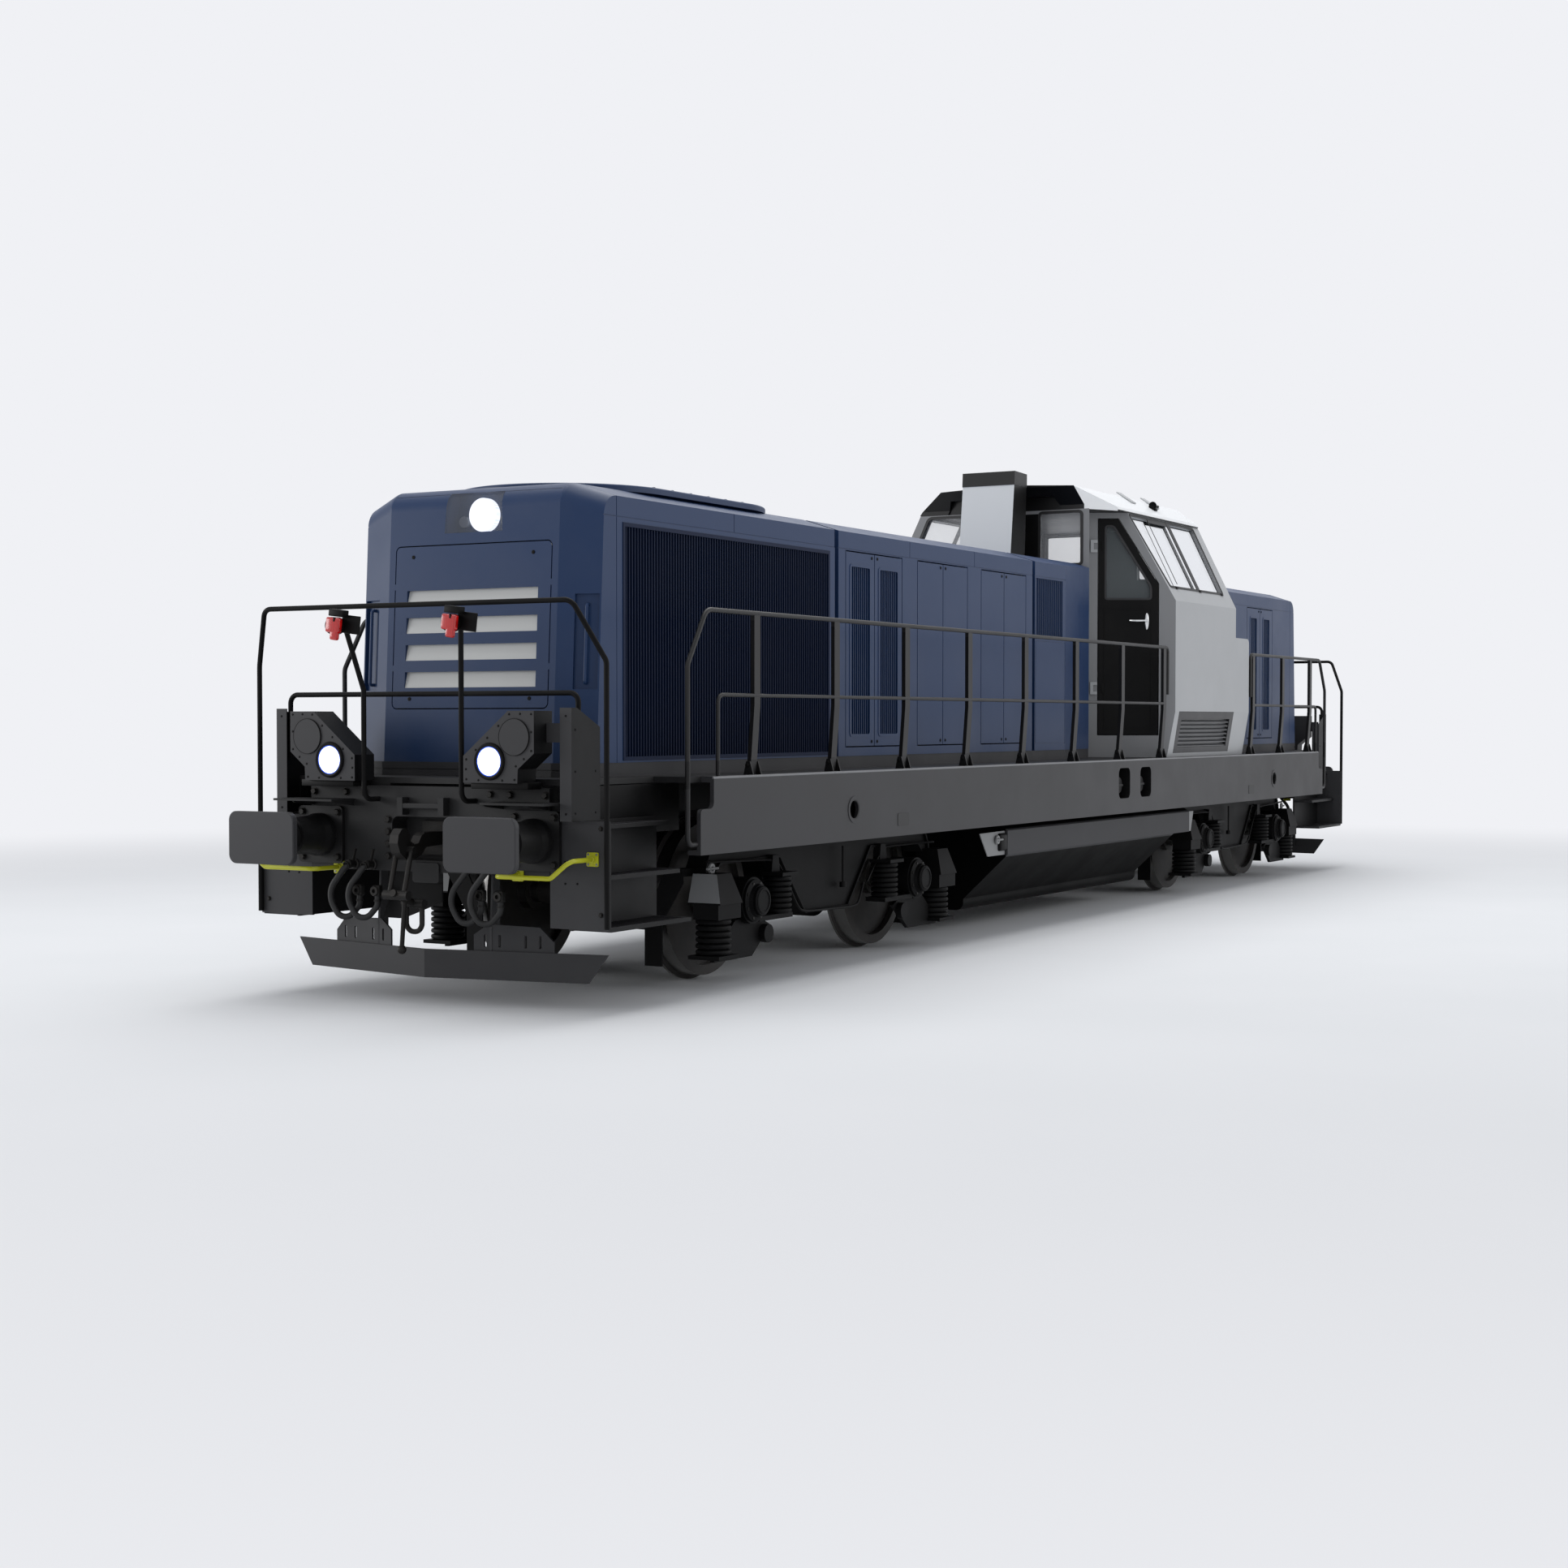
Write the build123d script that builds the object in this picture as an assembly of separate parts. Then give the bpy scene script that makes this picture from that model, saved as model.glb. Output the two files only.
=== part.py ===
"""Four-axle diesel shunting locomotive with a long hood, a cab and a short hood.

Lengths are millimetres. The X axis runs across the locomotive, the Y axis along it (the long
hood's end faces -Y) and Z is up. The model is laid out with its heights above the rail head
and is lifted by the depth of a wheel flange when it is written, so that the flanges end at 0.
"""
from build123d import *
import os
from math import atan2, cos, degrees, radians, sin, tan

# ---------------------------------------------------------------- driving dimensions
# lengths of the upper works in order, from one pair of buffer faces to the other
HOOD_END = 1041           # foot of a hood end plate from the buffer faces, at END_LEVEL
RADIATOR_HOOD = 3321
SEAM = 60                 # dark joint between two hoods
ENGINE_HOOD = 3778
TOWER_HOOD = 730          # its straight part, before it draws in towards the cab
TOWER_DRAW = 925
CAB_LENGTH = 2780
SHORT_HOOD = 3804

RADIATOR_END = HOOD_END + RADIATOR_HOOD
ENGINE_START = RADIATOR_END + SEAM
ENGINE_END = ENGINE_START + ENGINE_HOOD
TOWER_START = ENGINE_END + SEAM
TOWER_WAIST = TOWER_START + TOWER_HOOD
CAB_NEAR = TOWER_WAIST + TOWER_DRAW
CAB_FAR = CAB_NEAR + CAB_LENGTH
LENGTH = CAB_FAR + SHORT_HOOD + HOOD_END
HALF = LENGTH / 2

# track and wheels
WHEEL_DIA = 1100
WHEEL_WIDTH = 140
FLANGE_DEPTH = 30
FLANGE_WIDTH = 32
BACK_TO_BACK = 1360
RIM_DEPTH = 75
WEB_THICK = 30
HUB_DIA = 280
AXLE_DIA = 180
JOURNAL_DIA = 130
JOURNAL_END = 1190
WHEELBASE = 2600
PIVOT_SET = (4020, 3920)  # the bogie pivots from the near and the far buffer faces
NEAR_PIVOT = PIVOT_SET[0]
FAR_PIVOT = LENGTH - PIVOT_SET[1]
BOGIE_SWING = 4           # degrees each way

# underframe
DECK_TOP = 1447
DECK_THICK = 40
SILL_OUT = 1470           # outer face of the side sills from the middle
SILL_BOTTOM = 932
SILL_WEB = 30
SILL_FLANGE = 100
SILL_EDGE = 14            # radius of the long upper edge
SILL_SET_BACK = 1600      # of the sill ends from the buffer faces
SILL_NOTCH = (166, 212)   # length and depth of the step in the sill's upper end corners
CENTRE_BEAM_X = (330, 500)
CENTRE_BEAM_BOTTOM = 1160
END_DECK_HALF = 1105      # half width of the end platforms between the steps
BEAM_FRONT = 600          # front of the buffer beams from the buffer faces
BEAM_THICK = 40
BEAM_BOTTOM = 833
BEAM_TOP = 1390
BEAM_HALF = 974
CORNER_PLATE = 605        # front of the corner plates outside the buffer beams
PIVOT_DIA = 260
PIVOT_BOTTOM = 700

# couplings and buffers
BUFFER_SPACING = 1750
BUFFER_HEIGHT = 1060
BUFFER_PLATE = (550, 340)
BUFFER_PLATE_THICK = 40
BUFFER_CORNER = 60
CASING_DIA = 284
CASING_LENGTH = 330
PLUNGER_DIA = 200
FLANGE_PLATE = 380

# hoods
HOOD_HALF = 980
HOOD_BASE = DECK_TOP + 93
HOOD_SIDE_TOP = HOOD_BASE + 1745
HOOD_ROOF = HOOD_SIDE_TOP + 90
ROOF_FLAT_HALF = 700
END_LEVEL = 1900
END_CHAMFER = 95          # how far the end's bevelled corners step back
END_RAKE = 3.1            # degrees from upright
NOSE_RADIUS = 150
WALL = 40
BAND_FOOT = 3152          # joint under the band along the top of the hood sides
JOINT_WIDTH = 6
JOINT_DEPTH = 4
PANEL_GAP = 10
LEAF_THICK = 36
HINGE_INSET = 12          # of a leaf's pivot from its edge and its face
HINGE_PIN = 12
PIN_DEPTH = 22
PIN_GAP = 0.3
SEAT_GAP = 0.2            # between pieces that rest against each other
TOWER_HOOD_TOE = 850      # half width where the hood meets the cab
PLINTH_HALF = 975
PLINTH_WIDE = 60
PLINTH_FRONT = 1000

# cab
CAB_HALF = 1440
CAB_NICHE = CAB_NEAR + 865   # where the door wall meets the cab side
CAB_FLOOR = DECK_TOP + 53
CAB_WAIST = DECK_TOP + 1583
CAB_EAVES = CAB_WAIST + 885
CAB_LEAN = 0.494          # how far the upper side leans in per height
CAB_WALL = 50
NICHE_NEAR = (657, CAB_NEAR + 460)  # where the door wall meets the return to the front wall
CAB_FOOT = 1910           # below this the sides draw in to the deck
CAB_FOOT_IN = 75
ROOF_EAVE_HALF = 988
ROOF_GUTTER_HALF = 1015
ROOF_TOP_HALF = 723
ROOF_EAVE = CAB_EAVES + 45
ROOF_TOP = ROOF_EAVE + 179
ROOF_CREST = ROOF_TOP + 36
ROOF_FRONT = CAB_NEAR - 104   # upper front edge
ROOF_BROW_SET = 119       # how far the brow's foot lies behind it
ROOF_CUT = (790, 990, CAB_NEAR + 367)  # the corner over the door: from X, to X, at Y

# joints
LEAF_SWING = 58           # degrees to the door stay, short of the handrail
CAB_DOOR_SWING = 80
BEARING_GAP = 0.6


# ---------------------------------------------------------------- helpers
def near(distance):
    """Y of a place measured from the near buffer faces."""
    return distance - HALF


def block(x, y, z):
    """A box between (low, high) pairs."""
    size = [high - low for low, high in (x, y, z)]
    middle = [(high + low) / 2 for low, high in (x, y, z)]
    return Pos(*middle) * Box(*size)


def across(points, x):
    """A prism across the locomotive: (y, z) points between two X values."""
    face = Plane((x[0], 0, 0), x_dir=(0, 1, 0), z_dir=(1, 0, 0)) * make_face(Polyline(*points, close=True))
    return extrude(face, amount=x[1] - x[0])


def along(points, y):
    """A prism along the locomotive: (x, z) points between two Y values."""
    face = Plane((0, y[1], 0), x_dir=(1, 0, 0), z_dir=(0, -1, 0)) * make_face(Polyline(*points, close=True))
    return extrude(face, amount=y[1] - y[0])


def rounded(box, axis, radius):
    """A box with its edges along one axis rounded."""
    return fillet(box.edges().filter_by(axis), radius)


def upright(points, z, lean=(0, 0)):
    """A prism of (x, y) points between two heights, which may lean in X and Y per height."""
    face = Pos(0, 0, z[0]) * make_face(Polyline(*points, close=True))
    rise = z[1] - z[0]
    return extrude(face, amount=rise, dir=(lean[0], lean[1], 1)) if any(lean) else extrude(face, amount=rise)


def rod(start, end, diameter):
    """A round bar between two points."""
    axis = Vector(*end) - Vector(*start)
    return extrude(Plane(start, z_dir=axis) * Circle(diameter / 2), amount=axis.length)


def tube(points, bend, diameter):
    """A round tube through points with bends of one radius, or one radius for each corner."""
    path = FilletPolyline(*points, radius=bend)
    return sweep(Plane(path @ 0, z_dir=path % 0) * Circle(diameter / 2), path=path)


def mirrored(shapes):
    """The shapes and their images on the other side of the locomotive."""
    return shapes + [shape.mirror(Plane.YZ) for shape in shapes]


def both_ends(shapes):
    """The shapes of the near end, and the same turned half round for the far end."""
    return shapes + [Rot(0, 0, 180) * shape for shape in shapes]


def fuse(shapes):
    first, *rest = shapes
    return first.fuse(*rest) if rest else first


# ---------------------------------------------------------------- underframe
def deck():
    end, step = HALF - BEAM_FRONT - BEAM_THICK, HALF - SILL_SET_BACK
    wide = SILL_OUT - SILL_FLANGE - SEAT_GAP
    plan = [(END_DECK_HALF, -end), (END_DECK_HALF, -step), (wide, -step), (wide, step),
            (END_DECK_HALF, step), (END_DECK_HALF, end), (-END_DECK_HALF, end), (-END_DECK_HALF, step),
            (-wide, step), (-wide, -step), (-END_DECK_HALF, -step), (-END_DECK_HALF, -end)]
    return upright(plan, (DECK_TOP - DECK_THICK, DECK_TOP))


HOOK_POCKET = (285, 908, 1192, 160)   # half width, foot, head and depth of the draw gear's pocket
HANDLE_PLATE = (1204, 1319)           # foot and head of the handle over it


def beam_front():
    """A buffer beam with its draw gear pocket, the pad under it and the handle over it."""
    front, back = near(BEAM_FRONT), near(BEAM_FRONT) + BEAM_THICK
    half, foot, head, depth = HOOK_POCKET
    pocket = block((-half - 12, half + 12), (back - 1, front + depth), (foot - 12, head + 12))
    beam = block((-BEAM_HALF, BEAM_HALF), (front, back), (BEAM_BOTTOM, BEAM_TOP)) + pocket
    beam -= rounded(block((-half, half), (front - 1, front + depth - 12), (foot, head)), Axis.Y, 50)
    beam += rounded(block((-108, 108), (front - 14, front + 30), (765, 895)), Axis.Y, 24)
    low, high = HANDLE_PLATE
    for x in ((-195, -150), (140, 185)):
        beam += block(x, (front - 62, front), (low, high))
    beam += rounded(block((-151, 141), (front - 60, front - 34), (low + 42, high - 38)), Axis.X, 8)
    return beam


def treads():
    """Tread plates over the buffers, each on two gussets."""
    y = (near(370), near(BEAM_FRONT))
    shapes = [rounded(block((600, END_DECK_HALF - 1), y, (1288, 1302)), Axis.Z, 6)]
    for x in (606, 950):
        shapes.append(across([(y[1], 1289), (y[0] + 20, 1289), (y[0] + 40, 1276), (y[1], 1255)], (x, x + 12)))
    return fuse(shapes)


def underframe():
    end = HALF - BEAM_FRONT - BEAM_THICK
    under = DECK_TOP - DECK_THICK
    shapes = [deck()]
    low, high = CENTRE_BEAM_X
    shapes += mirrored([block((low, high), (-end, end), (CENTRE_BEAM_BOTTOM, under))])
    for pivot in (NEAR_PIVOT, FAR_PIVOT):
        y = near(pivot)
        wide = SILL_OUT - SILL_FLANGE - SEAT_GAP
        shapes += [block((-wide, wide), (y - 220, y + 220), (CENTRE_BEAM_BOTTOM, under)),
                   rod((0, y, PIVOT_BOTTOM), (0, y, CENTRE_BEAM_BOTTOM), PIVOT_DIA)]
    skirt = across([(-end, BEAM_BOTTOM), (-end + 130, BEAM_BOTTOM), (-end + 900, CENTRE_BEAM_BOTTOM),
                    (-end, CENTRE_BEAM_BOTTOM)], CENTRE_BEAM_X)
    start, waist, end = near(PLINTH_FRONT) + 150, near(TOWER_WAIST), near(CAB_NEAR)
    bar = plinth_bar()
    outer, inner, draw = PLINTH_HALF, PLINTH_HALF - PLINTH_WIDE, HOOD_HALF - TOWER_HOOD_TOE
    curb = upright([(outer, start), (outer, waist), (outer - draw, end), (inner - draw, end), (inner, waist),
                    (inner, start)], (DECK_TOP, HOOD_BASE))
    far_curb = block((inner, outer), (near(CAB_FAR), -start), (DECK_TOP, HOOD_BASE))
    shapes += mirrored([curb, far_curb])
    shapes += both_ends([beam_front(), bar] + mirrored([skirt, treads()]))
    return fuse(shapes)


def plinth_bar():
    """The grooved bar across the foot of a hood's end plate, level with the plate's lower edge."""
    y, step = near(PLINTH_FRONT), END_CHAMFER
    flat, half = ROOF_FLAT_HALF, PLINTH_HALF
    outline = [(-half, y + 155), (-half, y + step), (-flat, y), (flat, y), (half, y + step), (half, y + 155)]
    bar = upright(outline, (DECK_TOP, HOOD_BASE))
    groove = [(-half - 5, y + 156), (-half - 5, y + step - 5), (-flat, y - 5), (flat, y - 5), (half + 5, y + step - 5),
              (half + 5, y + 156), (half - 8, y + 156), (half - 8, y + step + 8), (flat, y + 8), (-flat, y + 8),
              (-half + 8, y + step + 8), (-half + 8, y + 156)]
    return bar - upright(groove, (DECK_TOP + 40, DECK_TOP + 49))


SILL_PORTS = [            # (from the near buffer faces, height, kind)
    (NEAR_PIVOT - 265, 1160, "round"), (NEAR_PIVOT + 547, 1057, "square"),
    (CAB_NEAR - 628, 1221, "filler"), (CAB_NEAR - 53, 1221, "filler"),
    (FAR_PIVOT - 444, 1059, "square"), (FAR_PIVOT + 378, 1160, "round")]
ROUND_PORT = (152, 196, 5)            # bore, ring's outside diameter and how far the ring stands out
FILLER = (300, 290, 60, 96)           # width, height, corner and depth of a filler recess
FILLER_CAP = (150, 120)               # diameters of a filler's cap and neck


def filler_pocket(y, height):
    """A closed pocket behind the web with a capped filler neck in it, as (cutter, pocket)."""
    width, tall, corner, depth = FILLER
    web, back = SILL_OUT - SILL_WEB, SILL_OUT - SILL_WEB - depth
    hole = rounded(Pos((back + 8 + SILL_OUT + 1) / 2, y, height) * Box(SILL_OUT + 1 - back - 8, width, tall),
                   Axis.X, corner)
    pocket = Pos((web + back) / 2, y, height) * Box(depth, width + 16, tall + 16)
    cap, neck = FILLER_CAP
    stem = rod((back, y, height - 20), (back + 50, y, height - 20), neck)
    stem += rod((back + 50, y, height - 20), (back + 72, y, height - 20), cap)
    stem += block((back + 71, back + 90), (y - 55, y + 55), (height - 29, height - 11))
    return hole, pocket, stem


def side_sills():
    """Channel sills with a rounded upper edge, stepped upper end corners and their ports."""
    end = HALF - SILL_SET_BACK
    out, flange, web = SILL_OUT, SILL_OUT - SILL_FLANGE, SILL_OUT - SILL_WEB
    under = DECK_TOP - DECK_THICK
    section = [(out, SILL_BOTTOM), (out, DECK_TOP), (flange, DECK_TOP), (flange, under), (web, under),
               (web, SILL_BOTTOM + SILL_WEB), (flange, SILL_BOTTOM + SILL_WEB), (flange, SILL_BOTTOM)]
    sill = along(section, (-end, end))
    sill = fillet(sill.edges().filter_by(Axis.Y).sort_by(lambda e: e.center().X + e.center().Z)[-1:], SILL_EDGE)
    length, depth = SILL_NOTCH
    for way in (1, -1):
        notch = block((flange - 1, out + 1), sorted((way * (end - length), way * (end + 60))),
                      (DECK_TOP - depth, DECK_TOP + 60))
        inner = notch.edges().filter_by(Axis.X).sort_by(lambda e: way * e.center().Y + e.center().Z)[:1]
        sill -= fillet(inner, 45)
    tips = sill.edges().filter_by(Axis.X).filter_by(
        lambda e: abs(abs(e.center().Y) - end) < 1 and abs(e.center().Z - DECK_TOP + depth) < 1)
    sill = fillet(tips, 34)
    for place, height, kind in SILL_PORTS:
        y = near(place)
        if kind == "round":
            bore, ring, proud = ROUND_PORT
            sill += rod((out - 1, y, height), (out + proud, y, height), ring)
            sill -= rod((web - 1, y, height), (out + proud + 1, y, height), bore)
        elif kind == "square":
            sill -= rounded(block((web - 1, out + 1), (y - 48, y + 48), (height - 48, height + 48)), Axis.X, 16)
        else:
            hole, pocket, stem = filler_pocket(y, height)
            sill = (sill + pocket) - hole + stem
    return mirrored([sill])


# ---------------------------------------------------------------- running gear
def wheelset(y):
    """An axle with both wheels, turned about the X axis."""
    tread = WHEEL_DIA / 2
    back, face = BACK_TO_BACK / 2, BACK_TO_BACK / 2 + WHEEL_WIDTH
    middle = (back + face) / 2
    rim, hub, axle, journal = tread - RIM_DEPTH, HUB_DIA / 2, AXLE_DIA / 2, JOURNAL_DIA / 2
    web = (middle - WEB_THICK / 2, middle + WEB_THICK / 2)
    end = JOURNAL_END
    half = [(0, axle), (back - 20, axle), (back - 20, hub), (web[0], hub), (web[0], rim), (back, rim),
            (back, tread + FLANGE_DEPTH), (back + FLANGE_WIDTH * 0.6, tread + FLANGE_DEPTH),
            (back + FLANGE_WIDTH, tread), (face, tread - 4), (face, rim), (web[1], rim), (web[1], hub),
            (face, hub), (face, axle), (face + 60, axle), (face + 60, journal), (end, journal), (end, 0)]
    outline = half + [(-x, r) for x, r in reversed(half) if x > 0]
    face_xz = Plane.XZ * make_face(Polyline(*outline, close=True))
    return Pos(0, y, WHEEL_DIA / 2) * revolve(face_xz, axis=Axis.X)


MOTOR_DIA = 620
MOTOR_HEIGHT = 560
FRAME_X = (940, 1080)
FRAME_TOP = 905
FRAME_OVERHANG = 460      # of a bogie frame's ends beyond its axles
FRAME_SPAN = WHEELBASE / 2 + FRAME_OVERHANG
FRAME_FLANGE = (22, 18)   # how far the lip round a side frame stands out, and its thickness
SPRING_X = 1150
OUTER_SPRING = (437, 250, 203, 455)   # from the axle, diameter, foot and head
INNER_SPRING = (446, 216, 428, 700)
SPRING_WIRE = 30
SEAT_THICK = 26
BOX_DIA = 330
BOX_END = 1215
COVER = (300, 210, 1298)  # diameters of the box's flange and of its cover, and the cover's end
LIFE_GUARD = (FRAME_SPAN + 140, 14, 120)          # from the pivot, thickness, foot


def frame_outline(axle):
    half = [(FRAME_SPAN - 60, FRAME_TOP), (FRAME_SPAN, FRAME_TOP - 105), (FRAME_SPAN, FRAME_TOP - 165),
            (FRAME_SPAN - 130, FRAME_TOP - 165), (FRAME_SPAN - 210, 815), (axle - 577, 820), (axle - 960, 385)]
    return half + [(-y, z) for y, z in reversed(half)]


def spring(y, foot, head, diameter):
    """A coil spring as a turned column with one round ridge for each coil."""
    count = round((head - foot) / (SPRING_WIRE * 1.35))
    pitch = (head - foot) / count
    outer, inner = diameter / 2, diameter / 2 - SPRING_WIRE * 0.8
    line = [(0, foot)]
    for i in range(count):
        low = foot + pitch * i
        line += [(inner, low), (outer - 4, low + pitch * 0.2), (outer, low + pitch * 0.5), (outer - 4, low + pitch * 0.8)]
    line += [(inner, head), (0, head)]
    return Pos(SPRING_X, y, 0) * revolve(Plane.XZ * make_face(Polyline(*line, close=True)), axis=Axis.Z)


def bogie_frame(pivot):
    """A welded frame: two cranked side frames with lips, joined by a bolster with the pivot's hole."""
    axle = WHEELBASE / 2
    outline = frame_outline(axle)
    side = across(outline, FRAME_X)
    lip, thick = FRAME_FLANGE
    face = Plane((FRAME_X[1], 0, 0), x_dir=(0, 1, 0), z_dir=(1, 0, 0)) * make_face(Polyline(*outline, close=True))
    side += extrude(face - offset(face, -thick, kind=Kind.INTERSECTION), amount=lip)
    for way in (-1, 1):
        place, dia, foot, head = OUTER_SPRING
        y = way * (axle + place)
        half = dia / 2 + 26
        side += upright([(FRAME_X[1] - 1, y - half), (SPRING_X + half - 20, y - half), (SPRING_X + half - 20, y + half),
                         (FRAME_X[1] - 1, y + half)], (head + SEAT_GAP, head + 105))
        side += loft([Pos(1166, y, head + 104) * Rectangle(2 * half - 40, 2 * half),
                      Pos(1140, y, FRAME_TOP - 140) * Rectangle(2 * half - 110, 2 * half - 110)])
        place, dia, foot, head = INNER_SPRING
        y = way * (axle - place)
        side += block((FRAME_X[1] - 1, SPRING_X + dia / 2 + 6), (y - dia / 2 - 8, y + dia / 2 + 8),
                      (head + SEAT_GAP, head + SEAT_THICK))
        side += across([(y + 60, head + SEAT_THICK - 1), (y - 60, head + SEAT_THICK - 1), (y - 40, FRAME_TOP - 60),
                        (y + 40, FRAME_TOP - 60)], (FRAME_X[1] - 1, FRAME_X[1] + 60))
        guard, thick, foot = LIFE_GUARD
        y0, y1 = sorted((way * guard, way * (guard + thick)))
        side += block((FRAME_X[0], FRAME_X[0] + 70), sorted((way * (FRAME_SPAN - 5), way * (guard + thick))),
                      (FRAME_TOP - 160, FRAME_TOP - 105))
        side += along([(FRAME_X[0] + 70, 800), (FRAME_X[0] + 70, 700), (840, 420), (840, foot), (700, foot),
                       (700, 470), (FRAME_X[0] - 60, 800)], (y0, y1))
    bolster = block((-FRAME_X[0], FRAME_X[0]), (-260, 260), (FRAME_TOP - 265, FRAME_TOP - 25))
    bolster -= rod((0, 0, 600), (0, 0, 900), PIVOT_DIA + 2 * BEARING_GAP)
    return Pos(0, pivot, 0) * fuse([bolster] + mirrored([side]))


def suspension(pivot):
    """Axle boxes with a bolted cover, the arms under them and their two coil springs."""
    centre = WHEEL_DIA / 2
    flange, cover, end = COVER
    shapes = []
    for way in (-1, 1):
        y = pivot + way * WHEELBASE / 2
        body = rod((1000, y, centre), (BOX_END, y, centre), BOX_DIA)
        cone = [(BOX_END - 1, 0), (BOX_END - 1, flange / 2), (BOX_END + 20, flange / 2), (BOX_END + 34, cover / 2 + 14),
                (end - 26, cover / 2 + 6), (end - 26, cover / 2), (end - 6, cover / 2), (end, cover / 2 - 6), (end, 0)]
        body += Pos(0, y, centre) * revolve(Plane.XZ * make_face(Polyline(*cone, close=True)), axis=Axis.X)
        place, dia, foot, head = INNER_SPRING
        inner = y - way * place
        body += block((SPRING_X - dia / 2, SPRING_X + dia / 2 - 42), sorted((y - way * 80, inner - way * (dia / 2 + 6))),
                      (foot - SEAT_THICK - 8, foot))
        body += spring(inner, foot, head, dia)
        place, dia, foot, head = OUTER_SPRING
        outer = y + way * place
        body += block((SPRING_X - dia / 2, SPRING_X + dia / 2), (outer - dia / 2 - 8, outer + dia / 2 + 8),
                      (foot - SEAT_THICK, foot))
        plate = [(y + way * 455, foot - 54), (y + way * 455, foot), (y + way * 170, 420), (y - way * 120, centre - 110),
                 (y - way * 330, 350), (y - way * 250, 300), (y - way * 60, 150), (y + way * 330, foot - 54)]
        body += across(plate, (SPRING_X - 16, SPRING_X + 16))
        body += spring(outer, foot, head, dia)
        body += rod((SPRING_X + 15, y - way * 217, 300), (SPRING_X + 66, y - way * 217, 300), 132)
        body -= rod((999, y, centre), (BOX_END, y, centre), JOURNAL_DIA + 2 * BEARING_GAP)
        shapes.append(body)
    return mirrored(shapes)


def traction_motors(pivot):
    """Motors slung between each axle and the bolster, as plain drums with a nose lug."""
    shapes = []
    for way in (-1, 1):
        y = pivot + way * (WHEELBASE / 2 - 480)
        body = rod((-540, y, MOTOR_HEIGHT), (540, y, MOTOR_HEIGHT), MOTOR_DIA)
        body += block((-160, 160), sorted((y, pivot + way * 260.2)), (660, 760))
        shapes.append(body)
    return shapes


# ---------------------------------------------------------------- ends
def buffer_parts():
    """Buffer casings with their flange plates, and the heads that slide in them."""
    casings, heads = [], []
    y_face, y_beam = -HALF, near(BEAM_FRONT)
    bore = PLUNGER_DIA / 2 + 2
    outer = CASING_DIA / 2
    for x in (-BUFFER_SPACING / 2, BUFFER_SPACING / 2):
        profile = [(bore, -CASING_LENGTH), (outer - 14, -CASING_LENGTH), (outer - 14, -CASING_LENGTH + 30),
                   (outer - 22, -CASING_LENGTH + 36), (outer - 12, -120), (outer, -70), (outer, -20), (0, -20),
                   (0, -150), (bore, -150)]
        casing = revolve(Plane.YZ * make_face(Polyline(*[(v, r) for r, v in profile], close=True)), axis=Axis.Y)
        half = FLANGE_PLATE / 2
        casing += rounded(block((-half, half), (-26, 0), (-half, half)), Axis.Y, 34)
        casings.append(Pos(x, y_beam, BUFFER_HEIGHT) * casing)
        plate = Plane((x, y_face, BUFFER_HEIGHT), x_dir=(1, 0, 0), z_dir=(0, -1, 0)) * RectangleRounded(
            *BUFFER_PLATE, BUFFER_CORNER)
        head = extrude(plate, amount=-BUFFER_PLATE_THICK)
        head = chamfer(head.edges().group_by(Axis.Y)[0], 6)
        head += rod((x, y_face + BUFFER_PLATE_THICK, BUFFER_HEIGHT), (x, y_beam - 150 - SEAT_GAP, BUFFER_HEIGHT),
                    PLUNGER_DIA)
        heads.append(head)
    return both_ends(casings), both_ends(heads)


HOOK_THICK = 70
LINK_X = 58
HANG_DIA = 34             # bar of the links and the shackle


def coupling():
    """Draw hook with its screw coupling hung from it: links, spindle, lever and shackle."""
    y = near(BEAM_FRONT)
    back = near(BEAM_FRONT) + HOOK_POCKET[3] - 12 - SEAT_GAP
    half = HOOK_THICK / 2
    outline = [(back, 1095), (y - 60, 1095), (y - 95, 1075), (y - 125, 1030), (y - 165, 1022), (y - 205, 1045),
               (y - 215, 1090), (y - 245, 1128), (y - 290, 1128), (y - 325, 1090), (y - 335, 1035), (y - 310, 975),
               (y - 250, 930), (y - 170, 925), (y - 90, 955), (y - 50, 1000), (back, 1010)]
    hook = across(outline, (-half, half))
    hook = fillet(hook.edges().filter_by(Axis.X).sort_by(Axis.Y)[:8], 14)
    collar = block((-130, 130), (back - 30, back), (940, 1160))
    pin = rod((-LINK_X - 26, y - 225, 990), (LINK_X + 26, y - 225, 990), 48)
    links = [rod((x, y - 225, 1000), (x, y - 305, 705), HANG_DIA) for x in (-LINK_X, LINK_X)]
    trunnion = rod((-98, y - 305, 705), (98, y - 305, 705), 62)
    spindle = rod((0, y - 345, 722), (0, y - 100, 628), 48)
    second = rod((-86, y - 130, 640), (86, y - 130, 640), 60)
    shackle = tube([(-64, y - 130, 655), (-64, y - 130, 458), (64, y - 130, 458), (64, y - 130, 655)], 58, HANG_DIA)
    lever = rod((-8, y - 215, 672), (-78, y - 160, 350), 30)
    knob = Pos(-80, y - 158, 340) * Sphere(30)
    return fuse([hook, collar, pin, trunnion, spindle, second, shackle, lever, knob] + links)


HOSES = (-600, -450, 400, 550)          # across the beam


def hoses():
    y = near(BEAM_FRONT)
    shapes = []
    for x in HOSES:
        shapes.append(tube([(x, y, 870), (x, y - 80, 870), (x - 150, y - 110, 680), (x - 40, y - 70, 470),
                            (x + 60, y - 24, 600), (x + 60, y - 24, 700)], [50, 150, 70, 60], 40))
    return shapes


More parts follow.
